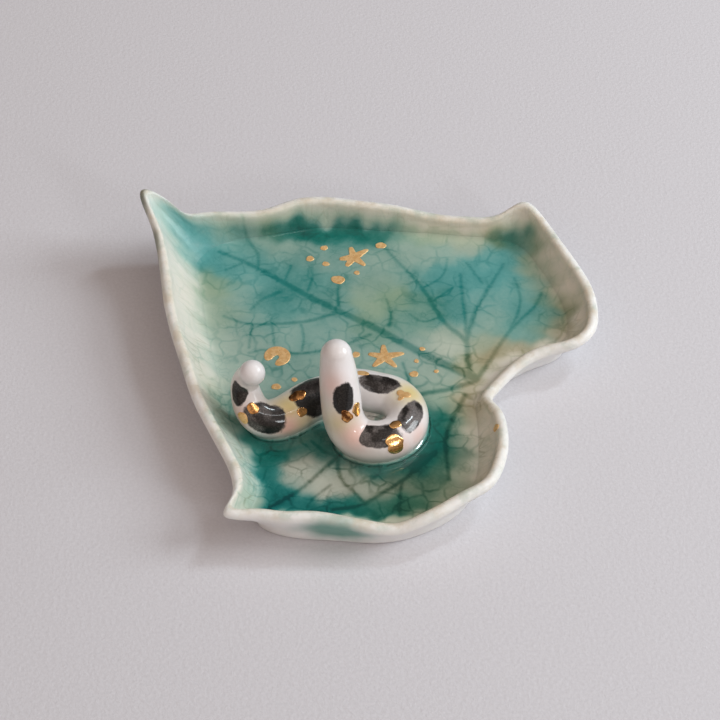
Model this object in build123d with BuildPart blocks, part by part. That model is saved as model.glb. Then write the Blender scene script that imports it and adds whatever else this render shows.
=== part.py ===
from build123d import *
import os
from math import cos, hypot, radians, sin, tan

os.makedirs("parts", exist_ok=True)

# A small porcelain ring dish, pressed from a leaf: a slab with turned-up walls, a pool of green glaze on its
# floor, a rolled clay coil that stands up as the ring post, and gold lustre stars, dots and patches.
# The origin is on the table, under the middle of the rim. The notch where the leaf's stalk was is on the
# right, the long tip is at the back left, and the low front of the rim is at -Y.

# The dish, in millimetres and degrees
outline_length = 100.0      # the outline's shares along X are of this
outline_width = 100.0       # the outline's shares along Y are of this
tip_height = 22.0           # the rim's highest place, and the measure of its other heights
wall_thickness = 2.9        # of the wall and of its rounded lip
floor_thickness = 4.2       # of the slab, under the middle of the floor
floor_slope = 1.2           # the floor falls towards the front by this angle
foot_round = 0.9            # the rounding of the edge that stands on the table
vein_depth = 0.5            # how deep the leaf's veins are pressed into the floor
vein_width = 1.4            # of the thickest vein at the stalk

# The glaze
pool_depth = 1.4            # over the middle of the floor; its top is level
pool_root = 0.3             # how far the pool's blank reaches below the veins before the dish is cut from it

# The coil
coil_radius = 5.1           # of the rolled clay
coil_flat = 1.0             # how much of the coil's underside is flat where it sits on the floor
loop_hole_radius = 2.5      # of the hole that the loop leaves, at the coil's middle
loop_x = 2.2                # the loop's centre
loop_y = -18.6
post_height = 31.4          # the ring post's top above the table
post_tip_radius = 3.7
post_lean_x = 1.3           # how far the post's tip leans to the left of its foot
post_lean_y = 5.8           # and to the back
tail_gap = 1.7              # along X from the end of the tail's bend to the left edge of the floor
tail_rise = 13.0            # from the coil's middle line on the floor to the middle of the ball
ball_radius = 3.1

# The gold
gold_thickness = 0.15
gold_gap = 0.04             # between the gold and the curved clay under it
star_size = 8.0             # across the points
moon_size = 6.6
dot_size = 2.0              # the measure of the dots on the floor
patch_size = 4.0            # the measure of the patches on the coil
patch_reach = 1.2           # how far a patch's cutter reaches below and above the coil's surface
dab_size = 3.2              # the dab on the rim

# One row for each place on the outline, anticlockwise from the tip: the rim's crest along X and Y, its height
# as a share of the tip's, and the edge of the floor below it along X and Y
outline_shares = [
    (-0.560, 0.455, 1.00, -0.405, 0.352),
    (-0.545, 0.390, 0.93, -0.412, 0.318),
    (-0.517, 0.310, 0.84, -0.400, 0.270),
    (-0.501, 0.230, 0.77, -0.385, 0.215),
    (-0.483, 0.120, 0.73, -0.365, 0.120),
    (-0.461, 0.030, 0.70, -0.345, 0.040),
    (-0.431, -0.070, 0.68, -0.320, -0.055),
    (-0.397, -0.175, 0.66, -0.295, -0.155),
    (-0.365, -0.245, 0.64, -0.270, -0.225),
    (-0.328, -0.320, 0.61, -0.242, -0.300),
    (-0.305, -0.370, 0.59, -0.229, -0.345),
    (-0.295, -0.410, 0.58, -0.229, -0.375),
    (-0.301, -0.455, 0.58, -0.234, -0.400),
    (-0.313, -0.497, 0.59, -0.233, -0.424),
    (-0.260, -0.500, 0.57, -0.216, -0.443),
    (-0.195, -0.505, 0.55, -0.175, -0.458),
    (-0.125, -0.504, 0.54, -0.120, -0.465),
    (-0.055, -0.510, 0.50, -0.053, -0.470),
    (0.010, -0.517, 0.45, 0.008, -0.475),
    (0.075, -0.515, 0.41, 0.065, -0.470),
    (0.130, -0.500, 0.48, 0.110, -0.455),
    (0.180, -0.475, 0.52, 0.150, -0.435),
    (0.230, -0.445, 0.56, 0.185, -0.410),
    (0.275, -0.415, 0.57, 0.210, -0.380),
    (0.303, -0.365, 0.57, 0.225, -0.340),
    (0.317, -0.305, 0.57, 0.231, -0.290),
    (0.318, -0.240, 0.55, 0.233, -0.230),
    (0.305, -0.170, 0.48, 0.232, -0.160),
    (0.290, -0.125, 0.41, 0.238, -0.108),
    (0.305, -0.090, 0.37, 0.262, -0.055),
    (0.340, -0.050, 0.40, 0.310, -0.003),
    (0.385, -0.010, 0.45, 0.360, 0.035),
    (0.445, 0.015, 0.50, 0.405, 0.060),
    (0.510, 0.030, 0.55, 0.445, 0.078),
    (0.550, 0.070, 0.57, 0.468, 0.103),
    (0.560, 0.125, 0.59, 0.475, 0.140),
    (0.555, 0.190, 0.59, 0.470, 0.185),
    (0.525, 0.280, 0.59, 0.450, 0.255),
    (0.485, 0.370, 0.59, 0.420, 0.330),
    (0.445, 0.455, 0.61, 0.395, 0.380),
    (0.410, 0.490, 0.64, 0.370, 0.405),
    (0.345, 0.473, 0.52, 0.325, 0.420),
    (0.275, 0.470, 0.48, 0.265, 0.425),
    (0.185, 0.480, 0.48, 0.180, 0.435),
    (0.085, 0.495, 0.55, 0.085, 0.445),
    (-0.015, 0.505, 0.59, -0.015, 0.455),
    (-0.115, 0.515, 0.61, -0.115, 0.460),
    (-0.185, 0.505, 0.61, -0.180, 0.450),
    (-0.255, 0.480, 0.57, -0.245, 0.435),
    (-0.325, 0.470, 0.57, -0.300, 0.423),
    (-0.415, 0.460, 0.61, -0.340, 0.410),
    (-0.475, 0.450, 0.68, -0.365, 0.398),
    (-0.510, 0.460, 0.82, -0.385, 0.380),
]

# The wall's section: how far out, from the foot or the floor's edge to the lip, and how far up
outer_wall_shares = [(0.12, 0.22), (0.52, 0.58), (0.90, 0.86)]
inner_wall_shares = [(0.92, 0.84), (0.62, 0.46), (0.30, 0.16), (0.10, 0.03)]

# The leaf's veins from the stalk outwards, as shares of the outline's sizes, with each one's width as a share
# of the thickest
vein_shares = [
    (1.00, [(0.264, -0.033), (0.109, 0.063), (-0.063, 0.182), (-0.240, 0.309), (-0.345, 0.375)]),
    (0.80, [(0.258, -0.027), (0.246, 0.086), (0.165, 0.217), (0.113, 0.316), (0.060, 0.410)]),
    (0.60, [(0.246, 0.090), (0.266, 0.158), (0.295, 0.231), (0.345, 0.345)]),
    (0.70, [(0.290, 0.000), (0.346, 0.085), (0.392, 0.161), (0.430, 0.215)]),
    (0.75, [(0.245, -0.055), (0.123, -0.095), (-0.067, -0.288), (-0.139, -0.370), (-0.190, -0.415)]),
    (0.60, [(0.225, -0.085), (0.203, -0.180), (0.185, -0.290), (0.175, -0.350)]),
    (0.50, [(-0.070, 0.182), (-0.148, 0.151), (-0.236, 0.141), (-0.320, 0.160)]),
]
vein_tip_share = 0.35       # a vein's width at its tip, of its width at its root

# The post between its tip and its foot: how far up, and the tube's radius as a share of the coil's
post_middle_shares = [(0.73, 0.85), (0.43, 0.92), (0.20, 0.94)]
# The post's foot, bent into the loop: places of the middle line from the loop's centre along X, Y and Z as shares
# of the loop's radius, with the tube's radius as a share of the coil's
post_foot_shares = [
    (-1.04, -0.46, 0.85, 0.94),
    (-0.95, -0.59, 0.49, 0.96),
    (-0.75, -0.75, 0.17, 0.98),
]
round_angles = [22, 45, 68, 90]                     # round the post's tip
loop_start_angle = 244                              # where on the loop the post's foot meets it
loop_end_angle = 420                                # where on the loop the tail leaves it
loop_step_angle = 22

# The coil's tail: places of its middle line, from the loop's centre along X and Y as shares of the tail's length
# and above the loop as shares of tail_rise, with the tube's radius as a share of the coil's
tail_shares = [
    (0.015, 0.257, 0.00, 1.00),
    (-0.110, 0.290, 0.00, 1.00),
    (-0.240, 0.287, 0.00, 1.00),
    (-0.362, 0.240, 0.00, 1.00),
    (-0.472, 0.192, 0.00, 1.02),
    (-0.597, 0.110, 0.00, 1.01),
    (-0.712, 0.022, 0.00, 0.99),
    (-0.810, -0.028, 0.04, 0.95),
    (-0.905, -0.040, 0.13, 0.89),
    (-0.978, -0.002, 0.26, 0.82),
    (-1.018, 0.062, 0.43, 0.74),
    (-1.030, 0.108, 0.63, 0.66),
    (-1.007, 0.108, 0.83, 0.60),
    (-0.978, 0.082, 0.99, 0.57),
]
ball_share = (-0.965, 0.070, 1.05)
tail_edge_share = -0.295    # the floor's left edge beside the tail's bend, as a share of outline_length

# Gold on the floor, in shares of the outline's sizes: the stars with the angle and length of each arm, the
# crescent with its bite, and the dots with their length, width and turn
far_star_share = (-0.031, 0.376)
far_star_arm_shares = [(38, 1.22), (102, 0.98), (189, 1.00), (240, 1.01), (315, 1.04)]
near_star_share = (0.045, 0.030)
near_star_arm_shares = [(15, 1.34), (93, 1.04), (166, 1.05), (230, 1.15), (310, 1.15)]
star_waist_share = 0.50     # the star's notches, as a share of half its size
star_round_share = 0.09     # the rounding of its points and notches, of the same
moon_share = (-0.220, 0.030)
moon_bite_share = 0.44      # the size of the crescent's bite, of the moon's
moon_bite_place_share = (-0.20, -0.27)
dot_shares = [
    (0.039, 0.419, 1.35, 1.10, 10),
    (-0.071, 0.295, 1.80, 1.40, 0),
    (-0.144, 0.371, 1.10, 0.90, 20),
    (-0.108, 0.410, 0.95, 0.85, 0),
    (-0.103, 0.352, 0.90, 0.80, 0),
    (-0.023, 0.320, 0.75, 0.70, 0),
    (-0.025, 0.037, 1.00, 0.90, 0),
    (0.117, -0.027, 1.05, 1.00, 0),
    (0.139, 0.056, 0.70, 0.65, 0),
    (0.124, 0.016, 0.60, 0.60, 0),
    (0.172, -0.018, 0.60, 0.55, 0),
]
# The dots behind the tail, placed from the loop's centre in shares of the tail's length
tail_dot_shares = [
    (-0.803, 0.393, 1.10, 1.00, 0),
    (-0.657, 0.470, 0.75, 0.65, 30),
    (-0.683, 0.340, 0.95, 0.65, 0),
]

# Gold on the coil: the station that each patch lies at, the angle round the coil there in degrees, and its length
# along the coil and its width as shares of the patch's size
coil_patch_shares = [
    (6.50, 40, 0.75, 0.70),
    (6.75, 76, 0.70, 0.55),
    (12.25, 84, 1.20, 0.75),
    (12.75, 36, 0.70, 0.60),
    (16.25, 20, 1.05, 0.80),
    (20.00, 32, 0.70, 0.40),
    (24.25, 16, 0.85, 0.45),
    (24.50, 332, 0.60, 0.60),
    (28.25, 326, 0.65, 0.60),
    (28.00, 280, 0.80, 0.60),
]
dab_share = (0.312, -0.245)


def floor_height(y):
    """Height of the floor under the glaze at a place along Y: a plane that falls towards the front."""
    return floor_thickness + y * tan(radians(floor_slope))


def outwards(row):
    """The direction outwards at one place of the outline, and the run from the floor's edge to the crest."""
    step_x = (row[0] - row[3]) * outline_length
    step_y = (row[1] - row[4]) * outline_width
    run = hypot(step_x, step_y)
    return step_x / run, step_y / run, run


def off_edge(row, distance, height):
    """The point that lies this far outwards from the floor's edge, at this height."""
    out_x, out_y, _ = outwards(row)
    edge_x = row[3] * outline_length
    edge_y = row[4] * outline_width
    return Vector(edge_x + out_x * distance, edge_y + out_y * distance, height)


def wall_section(row):
    """Points of the wall's section at one place of the outline, from the foot up, over the lip and down."""
    run = outwards(row)[2]
    lip = wall_thickness / 2
    lip_z = row[2] * tip_height - lip
    edge_z = floor_height(row[4] * outline_width)
    spread = run + lip - wall_thickness
    points = [off_edge(row, wall_thickness - foot_round, 0), off_edge(row, wall_thickness, foot_round)]
    for out_share, up_share in outer_wall_shares:
        height = foot_round + (lip_z - foot_round) * up_share
        points.append(off_edge(row, wall_thickness + spread * out_share, height))
    points.append(off_edge(row, run + lip, lip_z))
    points.append(off_edge(row, run, lip_z + lip))
    points.append(off_edge(row, run - lip, lip_z))
    for out_share, up_share in inner_wall_shares:
        points.append(off_edge(row, (run - lip) * out_share, edge_z + (lip_z - edge_z) * up_share))
    points.append(off_edge(row, 0, edge_z))
    return points


def pool_bank(row):
    """How far out from the floor's edge the middle of the wall is, at the level of the pool's top."""
    lip = wall_thickness / 2
    edge_z = floor_height(row[4] * outline_width)
    level_share = (pool_level - edge_z) / (row[2] * tip_height - lip - edge_z)
    out_share = 0
    last_out, last_up = 0, 0
    for next_out, next_up in inner_wall_shares[::-1]:
        way = min(max((level_share - last_up) / (next_up - last_up), 0), 1)
        out_share = out_share + (next_out - last_out) * way
        last_out, last_up = next_out, next_up
    return (outwards(row)[2] - lip) * out_share + lip


# Every ring round the dish takes its knots from the rim, so that the surface runs straight up the wall
ring_knots = [0.0]
for here, there in zip(outline_shares, outline_shares[1:] + outline_shares[:1]):
    step = hypot((there[0] - here[0]) * outline_length, (there[1] - here[1]) * outline_width)
    ring_knots.append(ring_knots[-1] + step)


def ring(points):
    """A smooth closed wire through one point for each place of the outline."""
    return Wire([Edge.make_spline(list(points), periodic=True, parameters=ring_knots)])


floor_normal = (0, -sin(radians(floor_slope)), cos(radians(floor_slope)))
floor_plane = Plane(origin=(0, 0, floor_thickness), x_dir=(1, 0, 0), z_dir=floor_normal)
pool_level = floor_thickness + pool_depth
pool_plane = Plane.XY.offset(pool_level)

loop_radius = coil_radius + loop_hole_radius
coil_z = floor_height(loop_y) + coil_radius - coil_flat
loop_centre = Vector(loop_x, loop_y, coil_z)


def from_loop(share_x, share_y, share_z, size):
    """The place that lies this far from the loop's centre, in shares of the size."""
    return loop_centre + Vector(share_x, share_y, share_z) * size


# The coil's middle line, station by station from the post's tip, each with the tube's radius there
post_foot = from_loop(*post_foot_shares[0][:3], loop_radius)
post_tip = Vector(post_foot.X - post_lean_x, post_foot.Y + post_lean_y, post_height - post_tip_radius)
post_way = (post_tip - post_foot).normalized()
tail_length = loop_x - tail_edge_share * outline_length - tail_gap
stations = []
for angle in round_angles:
    up = post_way * (post_tip_radius * cos(radians(angle)))
    stations.append((post_tip + up, post_tip_radius * sin(radians(angle))))
for up_share, radius_share in post_middle_shares:
    stations.append((post_foot + (post_tip - post_foot) * up_share, coil_radius * radius_share))
for share_x, share_y, share_z, radius_share in post_foot_shares:
    stations.append((from_loop(share_x, share_y, share_z, loop_radius), coil_radius * radius_share))
loop_steps = round((loop_end_angle - loop_start_angle) / loop_step_angle)
for step in range(loop_steps + 1):
    angle = radians(loop_start_angle + step * loop_step_angle)
    stations.append((from_loop(cos(angle), sin(angle), 0, loop_radius), coil_radius))
for share_x, share_y, share_z, radius_share in tail_shares:
    rise_share = share_z * tail_rise / tail_length
    stations.append((from_loop(share_x, share_y, rise_share, tail_length), coil_radius * radius_share))
ball_centre = from_loop(ball_share[0], ball_share[1], ball_share[2] * tail_rise / tail_length, tail_length)


def station_planes():
    """A plane square to the middle line at each station. Its X points right at the post's tip, and is carried
    along from there, so that the rings don't twist."""
    planes = []
    side = Vector(1, 0, 0)
    for index, (place, _) in enumerate(stations):
        before = stations[max(index - 1, 0)][0]
        after = stations[min(index + 1, len(stations) - 1)][0]
        along = (after - before).normalized()
        side = (side - along * side.dot(along)).normalized()
        planes.append(Plane(origin=place, x_dir=side, z_dir=along))
    return planes


planes = station_planes()


def coil_rings(extra, first, last):
    """Round faces at the first to the last of a run of stations, with the radius grown by the extra."""
    rings = []
    for plane, (_, radius) in zip(planes[first:last + 1], stations[first:last + 1]):
        with BuildSketch(plane) as ring_sketch:
            Circle(radius + extra)
        rings.append(ring_sketch.sketch.face())
    return rings


def coil_shape(extra):
    """The rolled coil, grown by the extra: the post with its rounded tip, the loop, the tail and its ball."""
    join = len(round_angles) - 1
    top = post_tip + post_way * (post_tip_radius + extra)
    with BuildPart() as shape:
        loft(sections=[Vertex(top.X, top.Y, top.Z)] + coil_rings(extra, 0, join))
        loft(sections=coil_rings(extra, join, len(stations) - 1))
        with Locations(ball_centre):
            Sphere(ball_radius + extra)
        split(bisect_by=floor_plane, keep=Keep.TOP)
    return shape.part


def on_coil(station, angle):
    """A place on the coil's surface, part of the way from one station to the next, as a plane that faces out and
    whose X runs along the coil."""
    index = int(station)
    way = station - index
    here = planes[index]
    there = planes[index + 1]
    along = (here.z_dir + (there.z_dir - here.z_dir) * way).normalized()
    side = here.x_dir + (there.x_dir - here.x_dir) * way
    side = (side - along * side.dot(along)).normalized()
    out = side * cos(radians(angle)) + along.cross(side) * sin(radians(angle))
    radius = stations[index][1] + (stations[index + 1][1] - stations[index][1]) * way
    centre = here.origin + (there.origin - here.origin) * way
    return Plane(origin=centre + out * radius, x_dir=along, z_dir=out)


def vein_strip(width_share, places):
    """One vein as a tapered strip: its two sides are splines that stand off its middle line."""
    middle = [Vector(x * outline_length, y * outline_width) for x, y in places]
    left = []
    right = []
    for index, place in enumerate(middle):
        along = middle[min(index + 1, len(middle) - 1)] - middle[max(index - 1, 0)]
        across = Vector(-along.Y, along.X).normalized()
        way = index / (len(middle) - 1)
        half_width = vein_width * width_share * (1 + (vein_tip_share - 1) * way) / 2
        left.append(place + across * half_width)
        right.append(place - across * half_width)
    with BuildSketch(floor_plane) as strip:
        with BuildLine():
            Spline(*left)
            Spline(*right)
            Line(left[0], right[0])
            Line(left[-1], right[-1])
        make_face()
    return strip.sketch


def save(piece, name):
    piece.label = name
    export_step(piece, "parts/" + name + ".step")


# The body: one surface goes up the outside, over the lip and down to the floor, and two flat faces close it
wall_rings = zip(*[wall_section(row) for row in outline_shares])
with BuildPart() as leaf_dish:
    add(Solid.make_loft([ring(points) for points in wall_rings]))
    for width_share, places in vein_shares:
        extrude(to_extrude=vein_strip(width_share, places), amount=-vein_depth, mode=Mode.SUBTRACT)
save(leaf_dish.part, "leaf_dish")

ring_coil = coil_shape(0)
save(ring_coil, "ring_coil")

# The glaze: a blank that ends inside the walls and the slab, with the dish and the coil cut from it
pool_root_z = floor_height(min(row[4] for row in outline_shares) * outline_width) - vein_depth - pool_root
with BuildPart() as glaze_pool:
    add(Solid.make_loft([
        ring([off_edge(row, wall_thickness / 2, pool_root_z) for row in outline_shares]),
        ring([off_edge(row, pool_bank(row), pool_level) for row in outline_shares]),
    ]))
    add(leaf_dish.part, mode=Mode.SUBTRACT)
    add(ring_coil, mode=Mode.SUBTRACT)
save(glaze_pool.part, "glaze_pool")


def floor_place(share):
    return share[0] * outline_length, share[1] * outline_width


def gold_star(place_share, arm_shares):
    """A hand-cut star: an arm at each angle, and a notch half way to the next."""
    outer = star_size / 2
    corners = []
    for index, (angle, arm) in enumerate(arm_shares):
        next_angle = arm_shares[(index + 1) % len(arm_shares)][0]
        notch_angle = angle + ((next_angle - angle) % 360) / 2
        corners.append((outer * arm * cos(radians(angle)), outer * arm * sin(radians(angle))))
        notch = outer * star_waist_share
        corners.append((notch * cos(radians(notch_angle)), notch * sin(radians(notch_angle))))
    with BuildPart() as star:
        with BuildSketch(pool_plane) as outline:
            with Locations(floor_place(place_share)):
                Polygon(*corners, align=None)
            fillet(outline.vertices(), radius=outer * star_round_share)
        extrude(amount=gold_thickness)
    return star.part


save(gold_star(far_star_share, far_star_arm_shares), "gold_star_far")
save(gold_star(near_star_share, near_star_arm_shares), "gold_star_near")

with BuildPart() as gold_moon:
    with BuildSketch(pool_plane):
        with Locations(floor_place(moon_share)):
            Circle(moon_size / 2)
            with Locations((moon_bite_place_share[0] * moon_size, moon_bite_place_share[1] * moon_size)):
                Circle(moon_size * moon_bite_share / 2, mode=Mode.SUBTRACT)
    extrude(amount=gold_thickness)
save(gold_moon.part, "gold_moon")

dots = [(floor_place(row[:2]), row[2:]) for row in dot_shares]
for share_x, share_y, *oval in tail_dot_shares:
    dots.append(((loop_x + share_x * tail_length, loop_y + share_y * tail_length), oval))
for number, (place, (length_share, width_share, turn)) in enumerate(dots, start=1):
    with BuildPart() as gold_dot:
        with BuildSketch(pool_plane):
            with Locations(Location(place, turn)):
                Ellipse(dot_size * length_share / 2, dot_size * width_share / 2)
        extrude(amount=gold_thickness)
    save(gold_dot.part, f"gold_dot_{number:02d}")

# A patch on the coil is what an oval cutter, square to the surface, takes between two skins over the coil
coil_under_gold = coil_shape(gold_gap)
coil_over_gold = coil_shape(gold_gap + gold_thickness)
for number, (station, angle, length_share, width_share) in enumerate(coil_patch_shares, start=1):
    with BuildPart() as gold_patch:
        with BuildSketch(on_coil(station, angle).offset(-patch_reach)):
            Ellipse(patch_size * length_share / 2, patch_size * width_share / 2)
        extrude(amount=patch_reach * 2)
        add(coil_over_gold, mode=Mode.INTERSECT)
        add(coil_under_gold, mode=Mode.SUBTRACT)
    save(gold_patch.part, f"gold_patch_{number:02d}")

# The dab on the rim's inner side is what a round cutter takes between two copies of the body, shifted in and up


def shifted_dish(distance):
    """The body, moved by this distance to the left and up at once."""
    step = distance * cos(radians(45))
    return leaf_dish.part.moved(Location((-step, 0, step)))


with BuildPart() as gold_rim_dab:
    with BuildSketch(pool_plane):
        with Locations(floor_place(dab_share)):
            Circle(dab_size / 2)
    extrude(amount=tip_height - pool_level)
    add(shifted_dish(gold_gap + gold_thickness), mode=Mode.INTERSECT)
    add(shifted_dish(gold_gap), mode=Mode.SUBTRACT)
save(gold_rim_dab.part, "gold_rim_dab")
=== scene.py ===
from math import cos, pi, radians, sin, tan

import bpy
import numpy as np
from mathutils import Matrix, Vector


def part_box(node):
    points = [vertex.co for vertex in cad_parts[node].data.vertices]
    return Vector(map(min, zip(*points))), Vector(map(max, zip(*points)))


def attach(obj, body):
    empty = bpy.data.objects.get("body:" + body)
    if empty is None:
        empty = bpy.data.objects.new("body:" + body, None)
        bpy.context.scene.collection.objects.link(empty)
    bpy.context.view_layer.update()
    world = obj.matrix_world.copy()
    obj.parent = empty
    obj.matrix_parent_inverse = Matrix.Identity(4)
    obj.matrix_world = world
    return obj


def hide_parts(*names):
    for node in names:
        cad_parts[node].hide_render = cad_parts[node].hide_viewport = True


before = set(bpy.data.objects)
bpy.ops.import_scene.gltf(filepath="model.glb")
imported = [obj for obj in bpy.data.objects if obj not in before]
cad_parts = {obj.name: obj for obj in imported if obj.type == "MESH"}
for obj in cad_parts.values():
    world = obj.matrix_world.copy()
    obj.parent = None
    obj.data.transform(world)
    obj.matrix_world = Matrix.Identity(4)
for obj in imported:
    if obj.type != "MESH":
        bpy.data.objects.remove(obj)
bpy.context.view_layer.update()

# A porcelain ring dish pressed from a leaf, with green glaze pooled on its floor, a rolled clay coil, and
# gold lustre stars, dots and patches. Lengths are in millimetres and become metres where a mesh is made.
METRES = 0.001

# The dish
OUTLINE_LENGTH = 100.0
OUTLINE_WIDTH = 100.0
TIP_HEIGHT = 22.0
WALL_THICKNESS = 2.9
FLOOR_THICKNESS = 4.2
FLOOR_SLOPE = 1.2
FOOT_ROUND = 0.9
POOL_CENTRE = (5.0, 5.0)
POOL_LEVEL = 5.6            # the height of the glaze's top
POOL_CREEP = 1.0            # how far the glaze climbs the wall, and over what distance from it
POOL_CREEP_REACH = 0.95
COIL_CREEP = 0.4            # and the same at the coil
COIL_CREEP_REACH = 0.7
POOL_SINK = 0.1             # how far the pool's underside lies in the clay of the floor
POOL_EDGE_DEPTH = 0.9       # and how far below its edge it meets the wall

# The coil
COIL_RADIUS = 5.1
COIL_FLAT = 1.0
LOOP_RADIUS = 7.6
LOOP_PLACE = (2.2, -18.6)
POST_HEIGHT = 31.4
POST_TIP_RADIUS = 3.7
POST_LEAN = (1.3, 5.8)
TAIL_LENGTH = 30.0
TAIL_RISE = 13.0
BALL_RADIUS = 3.1

# The gold
GOLD_THICKNESS = 0.15
GOLD_SINK = 0.05            # how far a fleck's underside sinks into what it lies on
GOLD_LIFT = 0.02            # how far a fleck stands off the curved coil and wall

# One row for each place on the outline, anticlockwise from the tip: the rim's crest along X and Y, its
# height as a share of the tip's, and the edge of the floor below it along X and Y
OUTLINE_SHARES = np.array([
    (-0.560, 0.455, 1.00, -0.405, 0.352),
    (-0.545, 0.390, 0.93, -0.412, 0.318),
    (-0.517, 0.310, 0.84, -0.400, 0.270),
    (-0.501, 0.230, 0.77, -0.385, 0.215),
    (-0.483, 0.120, 0.73, -0.365, 0.120),
    (-0.461, 0.030, 0.70, -0.345, 0.040),
    (-0.431, -0.070, 0.68, -0.320, -0.055),
    (-0.397, -0.175, 0.66, -0.295, -0.155),
    (-0.365, -0.245, 0.64, -0.270, -0.225),
    (-0.328, -0.320, 0.61, -0.242, -0.300),
    (-0.305, -0.370, 0.59, -0.229, -0.345),
    (-0.295, -0.410, 0.58, -0.229, -0.375),
    (-0.301, -0.455, 0.58, -0.234, -0.400),
    (-0.313, -0.497, 0.59, -0.233, -0.424),
    (-0.260, -0.500, 0.57, -0.216, -0.443),
    (-0.195, -0.505, 0.55, -0.175, -0.458),
    (-0.125, -0.504, 0.54, -0.120, -0.465),
    (-0.055, -0.510, 0.50, -0.053, -0.470),
    (0.010, -0.517, 0.45, 0.008, -0.475),
    (0.075, -0.515, 0.41, 0.065, -0.470),
    (0.130, -0.500, 0.48, 0.110, -0.455),
    (0.180, -0.475, 0.52, 0.150, -0.435),
    (0.230, -0.445, 0.56, 0.185, -0.410),
    (0.275, -0.415, 0.57, 0.210, -0.380),
    (0.303, -0.365, 0.57, 0.225, -0.340),
    (0.317, -0.305, 0.57, 0.231, -0.290),
    (0.318, -0.240, 0.55, 0.233, -0.230),
    (0.305, -0.170, 0.48, 0.232, -0.160),
    (0.290, -0.125, 0.41, 0.238, -0.108),
    (0.305, -0.090, 0.37, 0.262, -0.055),
    (0.340, -0.050, 0.40, 0.310, -0.003),
    (0.385, -0.010, 0.45, 0.360, 0.035),
    (0.445, 0.015, 0.50, 0.405, 0.060),
    (0.510, 0.030, 0.55, 0.445, 0.078),
    (0.550, 0.070, 0.57, 0.468, 0.103),
    (0.560, 0.125, 0.59, 0.475, 0.140),
    (0.555, 0.190, 0.59, 0.470, 0.185),
    (0.525, 0.280, 0.59, 0.450, 0.255),
    (0.485, 0.370, 0.59, 0.420, 0.330),
    (0.445, 0.455, 0.61, 0.395, 0.380),
    (0.410, 0.490, 0.64, 0.370, 0.405),
    (0.345, 0.473, 0.52, 0.325, 0.420),
    (0.275, 0.470, 0.48, 0.265, 0.425),
    (0.185, 0.480, 0.48, 0.180, 0.435),
    (0.085, 0.495, 0.55, 0.085, 0.445),
    (-0.015, 0.505, 0.59, -0.015, 0.455),
    (-0.115, 0.515, 0.61, -0.115, 0.460),
    (-0.185, 0.505, 0.61, -0.180, 0.450),
    (-0.255, 0.480, 0.57, -0.245, 0.435),
    (-0.325, 0.470, 0.57, -0.300, 0.423),
    (-0.415, 0.460, 0.61, -0.340, 0.410),
    (-0.475, 0.450, 0.68, -0.365, 0.398),
    (-0.510, 0.460, 0.82, -0.385, 0.380),
])

# The wall's section: how far out, from the foot or the floor's edge to the lip, and how far up
OUTER_WALL_SHARES = [(0.12, 0.22), (0.52, 0.58), (0.90, 0.86)]
INNER_WALL_SHARES = [(0.92, 0.84), (0.62, 0.46), (0.30, 0.16), (0.10, 0.03)]

# The post between its tip and its foot, then its foot in shares of the loop's radius, then the tail in
# shares of its length and rise, each with the tube's radius as a share of the coil's
POST_MIDDLE_SHARES = [(0.73, 0.85), (0.43, 0.92), (0.20, 0.94)]
POST_FOOT_SHARES = [
    (-1.04, -0.46, 0.85, 0.94),
    (-0.95, -0.59, 0.49, 0.96),
    (-0.75, -0.75, 0.17, 0.98),
]
LOOP_ANGLES = np.arange(244, 421, 22)
TAIL_SHARES = [
    (0.015, 0.257, 0.00, 1.00),
    (-0.110, 0.290, 0.00, 1.00),
    (-0.240, 0.287, 0.00, 1.00),
    (-0.362, 0.240, 0.00, 1.00),
    (-0.472, 0.192, 0.00, 1.02),
    (-0.597, 0.110, 0.00, 1.01),
    (-0.712, 0.022, 0.00, 0.99),
    (-0.810, -0.028, 0.04, 0.95),
    (-0.905, -0.040, 0.13, 0.89),
    (-0.978, -0.002, 0.26, 0.82),
    (-1.018, 0.062, 0.43, 0.74),
    (-1.030, 0.108, 0.63, 0.66),
    (-1.007, 0.108, 0.83, 0.60),
    (-0.978, 0.082, 0.99, 0.57),
]
BALL_SHARE = (-0.965, 0.070, 1.05)


def spline(knots, values, at, closed=False):
    """The cubic spline through the values at their knots, read at other places. Its slope and bend run on
    from span to span. A closed one runs round, and an open one ends without bend."""
    values = np.array(values, float)
    if closed:
        values = np.concatenate([values, values[:1]])
    steps = np.diff(knots)
    slopes = np.diff(values, axis=0) / steps[:, None]
    bends = np.zeros_like(values)
    if closed:
        before = np.roll(steps, 1)
        spans = np.diag(2 * (before + steps))
        spans += np.roll(np.diag(steps), 1, axis=1) + np.roll(np.diag(before), -1, axis=1)
        bends[:-1] = np.linalg.solve(spans, 6 * (slopes - np.roll(slopes, 1, axis=0)))
        bends[-1] = bends[0]
    else:
        spans = np.diag(2 * (steps[:-1] + steps[1:])) + np.diag(steps[1:-1], 1) + np.diag(steps[1:-1], -1)
        bends[1:-1] = np.linalg.solve(spans, 6 * np.diff(slopes, axis=0))
    index = np.clip(np.searchsorted(knots, at, side="right") - 1, 0, len(steps) - 1)
    step = steps[index][:, None]
    there = (at[:, None] - np.array(knots)[index][:, None]) / step
    here = 1 - there
    curve = here * values[index] + there * values[index + 1]
    sag = (here ** 3 - here) * bends[index] + (there ** 3 - there) * bends[index + 1]
    return curve + sag * step ** 2 / 6


def smooth_step(values, low, high):
    """0 below low, 1 above high, and an even S between them."""
    way = np.clip((values - low) / (high - low), 0, 1)
    return way * way * (3 - 2 * way)


def even_angles(count):
    """Angles at even steps round a circle."""
    return np.arange(count) / count * 2 * pi


def lengths_along(steps):
    """The length from the start of a line to each of its places, from the steps between them."""
    return np.concatenate([[0], np.cumsum(steps)])


def floor_height(y):
    """Height of the floor under the glaze at a place along Y: a plane that falls towards the front."""
    return FLOOR_THICKNESS + y * tan(radians(FLOOR_SLOPE))


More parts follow.
